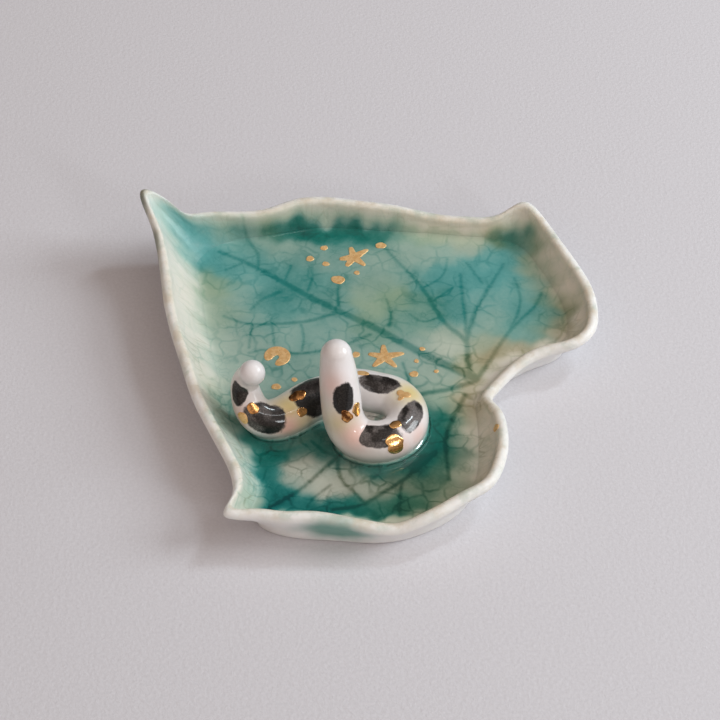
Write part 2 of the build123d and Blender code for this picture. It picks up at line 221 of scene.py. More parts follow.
def add_object(name, data):
    thing = bpy.data.objects.new(name, data)
    bpy.context.scene.collection.objects.link(thing)
    return thing


def put_on_root(piece, *nodes, slot):
    """The piece stands for these nodes of the CAD part, which it hides, and hangs on the root body. The slot
    is not used."""
    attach(piece, "root")
    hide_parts(*nodes)


def one_pole(grid):
    """The grid as a plain list of points, with only one point of its first and last rows."""
    return np.concatenate([grid[0, :1], grid[1:-1].reshape(-1, grid.shape[2]), grid[-1, :1]])


def grid_corners(rows, around):
    """Corners of a closed grid's faces: four for each square, and a fan of threes round each pole. Each
    corner is given three ways: its point, its column, and its row."""
    column = np.arange(around)
    row = np.arange(1, rows - 2)[:, None]
    square_columns = np.stack([column, column + 1, column + 1, column], axis=1)
    square_columns = np.broadcast_to(square_columns, (rows - 3, around, 4))
    square_rows = np.stack([row, row, row + 1, row + 1], axis=2) + np.zeros((1, around, 1), int)
    first_columns = np.stack([column, column + 1, column], axis=1)
    first_rows = np.tile([0, 1, 1], (around, 1))
    last_columns = np.stack([column, column, column + 1], axis=1)
    last_rows = np.tile([rows - 1, rows - 2, rows - 2], (around, 1))
    columns = np.concatenate([square_columns.ravel(), first_columns.ravel(), last_columns.ravel()])
    levels = np.concatenate([square_rows.ravel(), first_rows.ravel(), last_rows.ravel()])
    points = 1 + (levels - 1) * around + columns % around
    points[levels == 0] = 0
    points[levels == rows - 1] = 1 + (rows - 2) * around
    sides = np.concatenate([np.full((rows - 3) * around, 4), np.full(around * 2, 3)])
    return points, columns, levels, sides


def shell(name, points, material, values=None, round_length=1.0, row_lengths=None):
    """A closed mesh from a grid of points, row by row from one pole to the other, with each row closed
    round. The first and the last row are one point each. The values are float attributes on the same grid.
    The UV map has the length round the grid and the length from its first pole."""
    rows, around = points.shape[:2]
    corners, columns, levels, sides = grid_corners(rows, around)
    mesh = bpy.data.meshes.new(name)
    mesh.vertices.add((rows - 2) * around + 2)
    mesh.vertices.foreach_set("co", one_pole(points * METRES).ravel())
    mesh.loops.add(len(corners))
    mesh.loops.foreach_set("vertex_index", corners)
    mesh.polygons.add(len(sides))
    mesh.polygons.foreach_set("loop_start", np.concatenate([[0], np.cumsum(sides)[:-1]]))
    mesh.update(calc_edges=True)
    mesh.shade_smooth()
    if row_lengths is None:
        row_lengths = np.arange(rows) / (rows - 1)
    uv_map = mesh.uv_layers.new(name="round_and_up")
    lengths = np.stack([columns * round_length / around, row_lengths[levels]], axis=1)
    uv_map.data.foreach_set("uv", lengths.ravel())
    for label, grid in (values or {}).items():
        attribute = mesh.attributes.new(label, "FLOAT", "POINT")
        attribute.data.foreach_set("value", one_pole(grid[..., None]).ravel())
    mesh.materials.append(material)
    return add_object(name, mesh)


# The body's surface

WALL_COLUMNS = 900
ARC_MIDDLE = 0.29           # how far in from both sides a rounded corner's middle lies, in its radii
OUTLINE_SIZES = np.array([OUTLINE_LENGTH, OUTLINE_WIDTH])
CREST = OUTLINE_SHARES[:, 0:2] * OUTLINE_SIZES
RIM_KNOTS = lengths_along(np.hypot(*(np.roll(CREST, -1, axis=0) - CREST).T))


def wall_rings():
    """Rings of the wall's section at each place of the outline, from the foot up the outside, over the lip
    and down the inside to the floor's edge: each is a spline through points that stand a share of the run
    out from the floor's edge and a share of the rise up."""
    edge = OUTLINE_SHARES[:, 3:5] * OUTLINE_SIZES
    run = np.hypot(*(CREST - edge).T)
    out = (CREST - edge) / run[:, None]
    lip = WALL_THICKNESS / 2
    lip_z = OUTLINE_SHARES[:, 2] * TIP_HEIGHT - lip
    edge_z = floor_height(edge[:, 1])
    spread = run + lip - WALL_THICKNESS
    section = [(WALL_THICKNESS - FOOT_ROUND + run * 0, run * 0),
               (WALL_THICKNESS - FOOT_ROUND * ARC_MIDDLE + run * 0, FOOT_ROUND * ARC_MIDDLE + run * 0),
               (WALL_THICKNESS + run * 0, FOOT_ROUND + run * 0)]
    section += [(WALL_THICKNESS + spread * share, FOOT_ROUND + (lip_z - FOOT_ROUND) * up)
                for share, up in OUTER_WALL_SHARES]
    section += [(run + lip * cos(radians(angle)), lip_z + lip * sin(radians(angle)))
                for angle in (0, 45, 90, 135, 180)]
    section += [((run - lip) * share, edge_z + (lip_z - edge_z) * up) for share, up in INNER_WALL_SHARES]
    section += [(run * 0, edge_z)]
    rings = []
    places = np.arange(WALL_COLUMNS) / WALL_COLUMNS * RIM_KNOTS[-1]
    for distance, height in section:
        flat = edge + out * distance[:, None]
        rings.append(spline(RIM_KNOTS, np.column_stack([flat, height]), places, closed=True))
    return np.array(rings)


def wall_surface(rows_per_span):
    """The wall as a grid: the splines across the rings, read at this many rows for each span between
    rings."""
    rings = wall_rings()
    knots = lengths_along(np.linalg.norm(np.diff(rings, axis=0), axis=2).mean(axis=1))
    rows = [start + (end - start) * np.arange(count) / count
            for start, end, count in zip(knots, knots[1:], rows_per_span)]
    at = np.concatenate(rows + [knots[-1:]])
    flat = spline(knots, rings.reshape(len(rings), -1), at)
    return flat.reshape(len(at), WALL_COLUMNS, 3)


WALL_ROWS = [2, 2, 6, 8, 8, 5, 4, 4, 4, 4, 6, 12, 12, 8, 4]
LIP_RING = 8                # the ring of the section that runs along the crest of the lip
LIP_ROW = sum(WALL_ROWS[:LIP_RING])
wall = wall_surface(WALL_ROWS)
# How far each ring of the foot and of the floor has shrunk towards its centre
FOOT_SHARES = [1.0, 0.75, 0.5, 0.25, 0.1, 0.03]
FLOOR_SHARES = [0.03, 0.25, 0.5, 0.75, 1.0]


def to_centre(ring, centre, shares):
    """Rings between the given ring and the centre, each at its share of the way inwards."""
    return ring + (centre - ring) * np.array(shares)[:, None, None]


def dish_grid():
    """The whole body: the foot from its centre outwards, the wall, and the floor from its edge to its
    centre."""
    foot_centre = np.array([*POOL_CENTRE, 0])
    floor_centre = np.array([*POOL_CENTRE, floor_height(POOL_CENTRE[1])])
    foot = to_centre(wall[0], foot_centre, FOOT_SHARES)
    floor = to_centre(wall[-1], floor_centre, FLOOR_SHARES)
    return np.concatenate([foot, wall, floor])


# The pool's surface

POOL_COLUMNS = 620
POOL_RINGS = 140
POOL_CROWDING = 1.3         # over 1, so that the rings lie closer together near the wall
UNDER_RINGS = [-1, 100, 14, 0]      # the rings of the top that the underside repeats, from the centre out


def pool_bank(height):
    """Distance from the pool's centre to the wall at a height, for even angles round it: on each column the
    wall is followed down its inner side to that height, and these places are read by their angle."""
    falls = wall[LIP_ROW:][::-1]
    below = np.argmax(falls[:, :, 2] > height, axis=0)
    columns = np.arange(WALL_COLUMNS)
    upper = falls[below, columns]
    lower = falls[below - 1, columns]
    way = (height - lower[:, 2]) / (upper[:, 2] - lower[:, 2])
    place = lower + (upper - lower) * way[:, None]
    off = place[:, :2] - np.array(POOL_CENTRE)
    angles = np.arctan2(off[:, 1], off[:, 0])
    order = np.argsort(angles)
    even = even_angles(POOL_COLUMNS) - pi
    return even, np.interp(even, angles[order], np.hypot(*off.T)[order], period=2 * pi)


POOL_BANK = pool_bank(POOL_LEVEL + POOL_CREEP)


def pool_top(flat):
    """Height of the glaze at each place: level, and creeping up by amounts that die away with the distance
    from the wall and from the coil."""
    off = flat - np.array(POOL_CENTRE)
    bank = np.interp(np.arctan2(off[..., 1], off[..., 0]), *POOL_BANK, period=2 * pi)
    from_wall = np.maximum(bank - np.hypot(off[..., 0], off[..., 1]), 0)
    from_coil = np.maximum(coil_distance(flat), 0)
    creep = POOL_CREEP * np.exp(-from_wall / POOL_CREEP_REACH)
    return POOL_LEVEL + creep + COIL_CREEP * np.exp(-from_coil / COIL_CREEP_REACH)


def pool_grid():
    """The glaze as a polar grid round its centre, with rings closer together near the wall. Its underside
    lies a little way into the clay, and stays inside the wall where it rises to the edge."""
    angles, reach = POOL_BANK
    shares = 1 - (np.arange(POOL_RINGS + 1) / POOL_RINGS) ** POOL_CROWDING
    shares[-1] = 0
    way = np.stack([np.cos(angles), np.sin(angles)], axis=1)
    flat = np.array(POOL_CENTRE) + way * reach[:, None] * shares[:, None, None]
    top = np.concatenate([flat, pool_top(flat)[..., None]], axis=2)
    top[-1, :, 2] = top[-1, :, 2].mean()
    under = top[UNDER_RINGS].copy()
    under[:-1, :, 2] = floor_height(under[:-1, :, 1]) - POOL_SINK
    under[-1, :, 2] -= POOL_EDGE_DEPTH
    under[0] = under[0, 0]
    return np.concatenate([under, top])


# The coil's surface

COIL_AROUND = 96
COIL_CAP_ROWS = 14
COIL_STEP = 0.28


def coil_stations():
    """Places of the coil's middle line from the post's tip to the ball, each with the tube's radius."""
    centre = np.array([*LOOP_PLACE, floor_height(LOOP_PLACE[1]) + COIL_RADIUS - COIL_FLAT])
    foot = centre + np.array(POST_FOOT_SHARES[0][:3]) * LOOP_RADIUS
    tip = np.array([foot[0] - POST_LEAN[0], foot[1] + POST_LEAN[1], POST_HEIGHT - POST_TIP_RADIUS])
    rows = [(*tip, POST_TIP_RADIUS)]
    rows += [(*(foot + (tip - foot) * up), COIL_RADIUS * share) for up, share in POST_MIDDLE_SHARES]
    rows += [(*(centre + np.array(row[:3]) * LOOP_RADIUS), COIL_RADIUS * row[3]) for row in POST_FOOT_SHARES]
    rows += [(centre[0] + LOOP_RADIUS * cos(radians(angle)), centre[1] + LOOP_RADIUS * sin(radians(angle)),
              centre[2], COIL_RADIUS) for angle in LOOP_ANGLES]
    tail_sizes = np.array([TAIL_LENGTH, TAIL_LENGTH, TAIL_RISE])
    rows += [(*(centre + np.array(row[:3]) * tail_sizes), COIL_RADIUS * row[3]) for row in TAIL_SHARES]
    rows += [(*(centre + np.array(BALL_SHARE) * tail_sizes), BALL_RADIUS)]
    return np.array(rows)


def coil_line():
    """The middle line at even steps, with its radius, and at each place the directions along it, to its side
    and square to both. The side starts to the right at the post's tip and is carried along without a
    twist."""
    stations = coil_stations()
    lengths = lengths_along(np.linalg.norm(np.diff(stations[:, :3], axis=0), axis=1))
    at = np.linspace(0, lengths[-1], int(lengths[-1] / COIL_STEP))
    line = spline(lengths, stations, at)
    along = np.gradient(line[:, :3], axis=0)
    along /= np.linalg.norm(along, axis=1)[:, None]
    sides = np.zeros_like(along)
    side = np.array([1.0, 0.0, 0.0])
    for index, way in enumerate(along):
        side = side - way * (side @ way)
        side = side / np.linalg.norm(side)
        sides[index] = side
    return {"at": at, "middle": line[:, :3], "radius": line[:, 3], "along": along, "side": sides,
            "up": np.cross(along, sides)}


COIL = coil_line()


def coil_distance(places):
    """How far outside the coil's waterline each place on the pool lies: its distance from the nearest place
    of the middle line that runs through the glaze, less half of the coil's width there."""
    low = COIL["middle"][:, 2] < POOL_LEVEL + COIL_RADIUS
    middle = COIL["middle"][low]
    depth = middle[:, 2] - POOL_LEVEL
    half_width = np.sqrt(np.maximum(COIL["radius"][low] ** 2 - depth ** 2, 0.01))
    flat = places.reshape(-1, 2)
    nearest = np.full(len(flat), 1e3)
    for (x, y, _), half in zip(middle[::2], half_width[::2]):
        nearest = np.minimum(nearest, np.hypot(flat[:, 0] - x, flat[:, 1] - y) - half)
    return nearest.reshape(places.shape[:2])


def coil_point(at, angle, lift=0.0):
    """Places on the coil's skin: the middle line at a length, plus the radius and the lift in the direction
    that the angle gives between its side and its up."""
    read = {key: np.stack([np.interp(at, COIL["at"], COIL[key][:, axis]) for axis in range(3)], axis=-1)
            for key in ("middle", "side", "up")}
    radius = np.interp(at, COIL["at"], COIL["radius"]) + lift
    out = read["side"] * np.cos(angle)[..., None] + read["up"] * np.sin(angle)[..., None]
    return read["middle"] + out * radius[..., None]


def coil_cap(end, outwards):
    """The round end of the coil: half a ball on the middle line's first or last place."""
    rise = np.linspace(0, pi / 2, COIL_CAP_ROWS, endpoint=False)[:, None, None]
    angles = even_angles(COIL_AROUND)[None, :, None]
    round_way = COIL["side"][end] * np.cos(angles) + COIL["up"][end] * np.sin(angles)
    way = COIL["along"][end] * outwards * np.cos(rise) + round_way * np.sin(rise)
    return COIL["middle"][end] + way * COIL["radius"][end]


def coil_grid():
    """The tube from the post's tip to the ball, with a half ball at each end."""
    at, angle = np.meshgrid(COIL["at"], even_angles(COIL_AROUND), indexing="ij")
    return np.concatenate([coil_cap(0, -1), coil_point(at, angle), coil_cap(-1, 1)[::-1]])


# The glaze: where it lies thick or thin, and where it breaks into other colours

# One row for each place: X, Y, reach along X and along Y, then from 0 to 1 the glaze's
# thickness and how blue, olive, brown and grey it is there. Zeros at the end of a row are left out.
GLAZE_VALUES = ("glaze_thick", "glaze_blue", "glaze_olive", "glaze_brown", "glaze_grey")
GLAZE_PLACES = [
    # The tip and the corner below it
    (-54, 48, 3, 4, 0.16, 0.5),
    (-49, 47, 3, 3, 0.62, 0.9),
    (-46, 42, 3, 4, 0.72, 1.0),
    (-42, 37, 3, 4, 0.70, 1.0),
    (-41, 45, 3, 2, 0.60, 0.4, 0.1),
    (-37, 47, 3, 2, 0.54, 0.1, 0.3),
    (-32, 46, 2, 4, 0.78, 0.2, 0.1),
    (-28, 44, 3, 3, 0.60, 0, 0.1, 0, 0.3),
    (-36, 41, 3, 2, 0.60, 0.5),
    # The left wall, from its crest inwards
    (-50, 31, 2, 6, 0.02, 0, 0, 0.1),
    (-48, 19, 2, 6, 0.04, 0, 0, 0.3),
    (-46, 7, 2, 6, 0.05, 0, 0, 0.2),
    (-43, -5, 2, 5, 0.10, 0, 0, 0.5),
    (-40, -14, 2, 5, 0.10, 0, 0, 0.5),
    (-36, -25, 2, 5, 0.12, 0, 0, 0.1),
    (-31, -36, 2, 5, 0.12, 0, 0, 0.1),
    (-30, -47, 2, 3, 0.12, 0, 0.1, 0.1),
    (-46, 33, 2, 4, 0.16, 0.2, 0.1),
    (-45, 23, 2, 5, 0.10, 0, 0.2, 0.1),
    (-43, 11, 2, 5, 0.13, 0, 0.1, 0.1),
    (-40, 0, 2, 4, 0.18, 0, 0.1, 0.1),
    (-37, -9, 2, 3, 0.30, 0, 0.2, 0.3),
    (-34, -19, 2, 3, 0.36, 0, 0.1),
    (-31, -27, 2, 4, 0.24),
    (-28, -36, 2, 4, 0.26, 0.1),
    (-27, -43, 2, 3, 0.38, 0, 0.3),
    # The left of the floor
    (-41, 30, 2, 2, 0.58, 0.2, 0.7),
    (-38, 26, 3, 3, 0.52, 0, 0.7),
    (-40, 17, 2, 4, 0.40, 0, 0.4),
    (-36, 17, 3, 4, 0.50, 0, 0.3, 0, 0.1),
    (-36, 5, 2, 4, 0.40, 0, 0.1, 0, 0.1),
    (-32, 8, 3, 4, 0.52, 0, 0, 0, 0.2),
    (-33, -3, 2, 4, 0.46, 0, 0, 0, 0.2),
    (-36, 35, 4, 3, 0.64, 0.8),
    (-31, 30, 4, 3, 0.62, 0.6),
    (-30, 37, 4, 3, 0.62, 0.5, 0, 0, 0.1),
    (-31, 22, 3, 3, 0.56, 0.1, 0, 0, 0.1),
    (-24, 34, 4, 3, 0.72, 0.5),
    (-22, 22, 5, 4, 0.76, 0.4),
    (-15, 29, 4, 4, 0.72, 0.3),
    (-22, 41, 4, 3, 0.60, 0.1, 0.1, 0, 0.3),
    (-14, 37, 5, 3, 0.64, 0.1, 0, 0, 0.3),
    (-6, 42, 4, 2, 0.78),
    (-4, 33, 4, 4, 0.62, 0.1, 0, 0, 0.2),
    (-27, 14, 3, 3, 0.58, 0.1, 0, 0, 0.1),
    (-26, 8, 4, 3, 0.56, 0, 0, 0, 0.2),
    (-19, 9, 4, 3, 0.60, 0.1, 0, 0, 0.1),
    (-12, 11, 4, 4, 0.60, 0.1, 0, 0, 0.1),
    (-17, -1, 4, 4, 0.62, 0, 0, 0, 0.2),
    (-26, -6, 4, 3, 0.56, 0, 0, 0, 0.2),
    (-6, 3, 4, 4, 0.58, 0, 0, 0, 0.2),
    (-10, 21, 4, 4, 0.64, 0.1, 0, 0, 0.1),
    # The fold at the back, and the wall over it
    (-25, 46.0, 2, 1.2, 0.90, 0, 0.8, 0.1),
    (-20, 46.1, 4, 1.6, 1.00, 0, 0.1),
    (-15, 46.3, 4, 1.6, 1.05),
    (-10, 46.3, 4, 1.6, 1.05),
    (-5, 46.1, 4, 1.6, 1.05),
    (0, 45.6, 4, 1.6, 1.00),
    (5, 45.5, 3, 1.5, 0.88, 0, 0.1),
    (10, 45.4, 3, 1.6, 0.58, 0, 0.4),
    (16, 44.9, 3, 1.6, 0.48, 0, 0.6),
    (22, 44.4, 3, 1.6, 0.38, 0, 0.6, 0.1),
    (28, 43.9, 3, 1.6, 0.40, 0, 0.5, 0.2),
    (-27, 48.5, 3, 1.2, 0.44, 0, 0.3, 0.9),
    (-21, 49.3, 5, 1.2, 0.30, 0, 0.3, 0.3),
    (-14, 49.7, 5, 1.2, 0.30, 0, 0.1),
    (-7, 49.5, 5, 1.2, 0.30, 0, 0.2),
    (0, 49.0, 5, 1.2, 0.30, 0, 0.2),
    (8, 49.0, 3, 1.2, 0.16, 0, 0.2, 0.1),
    (15, 48.0, 3, 1.2, 0.18, 0, 0.4, 0.2),
    (20, 47.0, 2, 1.0, 0.22, 0, 0.3, 0.7),
    (27, 46.4, 3, 1.0, 0.14, 0, 0.2, 0.5),
    (33, 46.0, 1.6, 1.6, 0.40, 0, 0.5, 1.0),
    (33.6, 42.5, 1.8, 1.4, 0.78, 0, 1.0, 0.2),
    # The far right corner and the right wall
    (37, 47, 2, 1.4, 0.22, 0, 0.2, 0.4),
    (41, 48, 2, 1.6, 0.12, 0, 0, 0.3),
    (38, 43, 2.5, 2, 0.86, 0.1, 0.3),
    (41, 43, 2, 2, 0.70, 0, 0.3, 0.1),
    (43, 38, 2, 3, 0.60, 0, 0.6, 0.1),
    # These rows of the right wall are nearly bare: pale clay, and painted light too, kept lighter than the
    # shaded wall would show, standing in for light shining through it
    (46, 41, 1.6, 4, 0.04, 0, 0.1, 0.3),
    (49, 33, 1.6, 4, 0.00, 0, 0, 0.2),
    (52, 25, 1.6, 4, 0.00, 0, 0, 0.2),
    (54.5, 15, 1.6, 4, 0.01, 0, 0, 0.3),
    (46, 33, 1.6, 3, 0.20, 0, 0.4, 0.2),
    (48.5, 25, 1.6, 2.5, 0.28, 0, 0.6, 0.3),
    (50.5, 19, 1.6, 2.6, 0.46, 0, 0.9, 0.5),
    (49, 12, 2, 2, 0.40, 0, 0.5, 0.8),
    (43, 31, 2.5, 3, 0.52, 0, 0.5, 0.1, 0.1),
    (46, 21, 2, 3, 0.70, 0, 0.4),
    (45, 14, 3, 3, 0.68, 0.1, 0.3),
    # The right of the floor
    (4, 38, 4, 4, 0.58, 0.1, 0.1, 0, 0.2),
    (12, 39, 3, 3, 0.52, 0.1, 0.1, 0, 0.2),
    (20, 38, 4, 2.5, 0.50, 0.2, 0.1, 0, 0.1),
    (26, 41, 3, 1.6, 0.46, 0, 0.1, 0.3, 0.1),
    (30, 38, 3, 3, 0.62, 0.7),
    (36, 37, 3, 3, 0.66, 0.8),
    (35, 30, 4, 4, 0.64, 0.9),
    (27, 31, 4, 4, 0.66, 0.8),
    (18, 30, 4, 3, 0.68, 0.7),
    (10, 31, 3, 3, 0.58, 0.1, 0.1, 0, 0.1),
    (40, 26, 3, 3, 0.60, 0.6, 0.1),
    (40, 18, 3, 3, 0.72, 0.5),
    (32, 22, 4, 4, 0.60, 0.4, 0, 0, 0.1),
    (37, 11, 3, 2.5, 0.64, 0.5, 0.1),
    (22, 20, 3, 4, 0.76, 0.4),
    (15, 21, 3, 3, 0.72, 0.1, 0.3),
    (8, 23, 2.5, 2.5, 0.56, 0, 0.7),
    (2, 20, 3, 3, 0.54, 0, 0.6),
    (1, 27, 3, 3, 0.60, 0, 0.3, 0, 0.2),
    (11, 15, 4, 3, 0.66, 0, 0.2),
    (3, 12, 3, 3, 0.60, 0, 0.3, 0, 0.1),
    (30, 14, 4, 3, 0.56, 0.2, 0.1, 0, 0.1),
    (10, 4, 4, 4, 0.54, 0, 0, 0, 0.2),
    (20, 6, 3, 2.5, 0.32, 0, 0.2, 0, 0.5),
    (21, 10, 3, 2, 0.46, 0, 0.2, 0, 0.3),
    (30, 8, 3, 2, 0.46, 0, 0.4, 0.3, 0.2),
    (26, 0, 2, 3, 0.42, 0, 0.7, 0.5),
    (31, 3, 2.5, 2, 0.50, 0, 0.6, 0.9),
    (37, 6, 3, 1.6, 0.44, 0, 0.4, 0.9),
    (36, 1, 3, 2, 0.10, 0, 0, 0.5),
    (44, 4, 3, 2, 0.10, 0, 0, 0.5),
    (51, 8, 2.5, 2, 0.18, 0, 0, 0.8),
    (31, -6, 2, 2, 0.08, 0, 0, 0.4),
    # The right front, round the loop
    (17, -3, 3, 3, 0.50, 0, 0.1, 0, 0.3),
    (19, -9, 3, 3, 0.44, 0, 0.3, 0, 0.3),
    (25, -8, 2, 3, 0.36, 0, 0.4, 0.9),
    (24, -13, 2, 3, 0.44, 0, 0.5, 0.9),
    (29, -11, 2, 3, 0.14, 0, 0.1, 0.6),
    (21, -16, 2, 3, 0.58, 0, 0.4, 0.3, 0.2),
    (31, -18, 2, 4, 0.04, 0, 0, 0.4),
    (26, -19, 2, 3, 0.24, 0, 0.2, 0.5, 0.2),
    (31, -29, 2, 4, 0.04, 0, 0, 0.4),
    (27, -27, 2, 4, 0.22, 0, 0.2, 0.3, 0.3),
    (28, -39, 3, 3, 0.12, 0, 0, 0.8, 0.2),
    (23, -36, 2, 3, 0.58, 0, 0.3, 0.3, 0.6),
    (22, -25, 2, 4, 0.62, 0, 0.3, 0.1, 0.6),
    (18, -31, 2, 3, 0.84, 0, 0.3, 0.1, 0.5),
    (17.5, -18, 2, 3, 0.96, 0, 0.1),
    (16.5, -24, 3, 3, 1.10),
    (11, -30, 4, 2.5, 1.10, 0, 0.1, 0, 0.1),
    (4, -33, 4, 2, 1.02, 0, 0, 0, 0.2),
    (-6, -29, 3, 2.5, 0.96, 0, 0, 0, 0.2),
    (-12, -26, 3, 2, 0.88, 0, 0, 0, 0.3),
    (-20, -27, 3, 2, 0.92, 0, 0, 0, 0.1),
    (14, -37, 3, 2.5, 0.86, 0, 0.3, 0.2, 0.6),
    (10, -43, 3, 1.6, 0.98, 0, 0.6, 0.1, 0.2),
    (18, -40, 2, 2, 0.62, 0, 0.4, 0.5, 0.3),
    # The pale stone-grey middle of the front, and the dark band round it
    (7, -37, 3, 3, 0.72, 0, 0.1, 0.1, 0.9),
    (1, -38, 3, 3, 0.55, 0, 0.1, 0.1, 0.9),
    (-4, -36, 3, 3, 0.55, 0, 0, 0.1, 1.0),
    (-9, -37, 3, 3, 0.38, 0, 0, 0.1, 1.0),
    (-15, -33, 3, 3, 0.46, 0, 0, 0.1, 1.0),
    (-10, -32, 3, 2, 0.54, 0, 0, 0, 0.9),
    (-16, -38, 2.5, 2, 0.52, 0.1, 0, 0, 0.7),
    (-34.5, -14, 2, 3, 0.60, 0, 0.3, 0.1),
    (-32, -18, 2, 2.5, 0.80, 0, 0.2),
    (-28, -24, 2, 2.5, 0.96),
    (-24.5, -29, 2, 3, 1.00, 0.1),
    (-22.5, -35, 2, 3, 0.94, 0.5),
    (-21.5, -40, 2.5, 2, 0.96, 0.6),
    (-17, -42.5, 3, 1.6, 0.98, 0.6),
    (-10, -43.5, 3, 1.6, 1.02, 0.4),
    (-3, -43.5, 3, 1.6, 1.00, 0.1, 0.1),
    (4, -43.5, 3, 1.8, 0.92, 0, 0.3, 0, 0.2),
    (-21, -47, 3, 1.2, 0.36, 0.1, 0.3),
    (-12, -47.5, 3, 1.0, 0.40, 0.1, 0.3),
    (-3, -48.5, 3, 1.0, 0.30, 0, 0.3, 0.1),
    (7, -49, 3, 1.0, 0.30, 0, 0.4, 0.4),
    (18, -45, 3, 1.2, 0.24, 0, 0.1, 0.8, 0.1),
    (2.5, -18.5, 2.5, 2.5, 0.02),
]

# Each vein of the leaf: its width at its root and at its tip, and its places from the stalk outwards
VEINS = [
    (2.3, 0.8, [(26.6, -4.0), (19.2, 0.6), (10.9, 6.3), (2.3, 12.7), (-6.3, 18.2), (-15.0, 24.1),
                (-24.1, 30.9), (-31.2, 35.9), (-37.8, 39.6)]),
    (0.8, 0.3, [(-7.1, 18.2), (-14.8, 15.1), (-23.6, 14.1), (-30.3, 14.4), (-35.7, 16.8)]),
    (1.3, 0.4, [(25.5, -2.7), (25.0, 3.0), (24.6, 8.6), (21.3, 12.4), (16.5, 21.7), (11.3, 31.6),
                (7.0, 37.8), (4.2, 42.9)]),
    (1.0, 0.4, [(24.9, 8.3), (26.6, 15.8), (29.5, 23.1), (32.5, 29.1), (35.4, 35.2)]),
    (0.7, 0.3, [(25.0, 9.0), (24.9, 15.8), (24.4, 24.1), (24.2, 31.6)]),
    (0.9, 0.4, [(27.5, -3.6), (30.3, 1.5), (34.6, 9.7), (39.2, 16.1), (43.0, 21.0), (44.5, 24.9)]),
    (1.2, 0.5, [(26.6, -4.9), (18.9, -7.9), (12.3, -9.5), (2.1, -18.0), (-6.7, -28.9), (-10.9, -33.4),
                (-13.9, -37.0), (-22.3, -43.8)]),
    (0.9, 0.5, [(24.0, -9.5), (20.3, -18.0), (19.0, -22.7), (19.0, -30.4), (19.3, -35.5)]),
    (0.8, 0.4, [(16.2, -27.6), (11.6, -32.5), (8.3, -36.1), (4.1, -39.3), (-1.3, -43.1), (-8.0, -44.4)]),
    (0.6, 0.3, [(-6.9, -29.1), (-5.2, -36.7), (-2.4, -40.0), (-0.3, -43.1)]),
    (0.5, 0.3, [(8.3, -36.1), (7.7, -41.0), (7.7, -46.3)]),
    (0.6, 0.3, [(-32.2, 51.5), (-32.0, 46.2), (-28.1, 39.2), (-27.9, 33.0)]),
    (0.4, 0.2, [(-6.3, 17.5), (-7.1, 26.6), (-6.6, 29.8)]),
    (0.6, 0.2, [(5.8, 13.4), (6.2, 18.0), (5.1, 22.6)]),
    (0.3, 0.1, [(26.0, 35.6), (29.6, 28.4)]),
    (0.2, 0.0, [(21.9, 26.6), (16.8, 21.8)]),
    (0.3, 0.1, [(-19.2, 34.5), (-21.1, 28.0)]),
    (0.3, 0.1, [(-13.8, 29.8), (-15.0, 24.8)]),
    (0.4, 0.2, [(-21.8, 25.2), (-26.8, 22.0), (-29.0, 19.0)]),
    (0.3, 0.1, [(-23.5, 14.1), (-22.8, 7.0)]),
    (0.3, 0.1, [(-28.5, 14.1), (-29.0, 6.0)]),
    (0.3, 0.1, [(-16.5, 14.9), (-15.5, 9.0), (-16.0, 4.5)]),
    (0.4, 0.2, [(1.0, 10.5), (-5.5, 7.0), (-11.4, 5.0), (-18.5, 4.3), (-25.5, 5.3), (-28.9, 4.3)]),
    (0.4, 0.2, [(12.3, -9.5), (10.9, -6.0), (9.0, 1.0)]),
    (0.3, 0.1, [(-6.7, -28.9), (-10.0, -27.0), (-13.0, -24.0)]),
    (0.3, 0.1, [(-8.5, -37.3), (-12.9, -41.7)]),
    (0.4, 0.2, [(35.4, 11.0), (39.0, 22.4), (38.0, 30.0)]),
    (0.3, 0.1, [(14.0, 26.5), (19.5, 31.0), (21.0, 37.0)]),
    (0.2, 0.0, [(19.0, 17.0), (14.0, 15.0), (11.0, 17.5)]),
    (0.3, 0.1, [(-31.0, 36.0), (-36.0, 33.0)]),
]


FAR_WEIGHT = 1e-5           # how much a row still counts beyond its reach


def by_glaze_places(flat):
    """The glaze values at each place: the mean of the table's rows, each weighed by a bell curve of its
    distance from the place over its reach. The place is first shifted by slow waves, so that no edge is
    straight."""
    weights = np.zeros(flat.shape[:-1]) + 1e-9
    sums = np.zeros((*flat.shape[:-1], len(GLAZE_VALUES)))
    east, north = flat[..., 0], flat[..., 1]
    east = east + 0.8 * np.sin(0.55 * north + 1.3) + 0.5 * np.sin(1.3 * north + 0.4 * east)
    north = north + 0.7 * np.sin(0.5 * flat[..., 0] + 0.6) + 0.4 * np.sin(1.2 * flat[..., 0] - 0.5 * north)
    for x, y, reach_x, reach_y, *values in GLAZE_PLACES:
        off = ((east - x) / reach_x) ** 2 + ((north - y) / reach_y) ** 2
        weight = np.exp(-0.5 * off) + FAR_WEIGHT / (1 + off)
        weights += weight
        sums += weight[..., None] * (values + [0] * (len(GLAZE_VALUES) - len(values)))
    return np.moveaxis(sums / weights[..., None], -1, 0)


VEIN_REACH = 6.0            # the greatest distance from a vein that is measured
VEIN_STEP = 0.8             # between the places along a vein


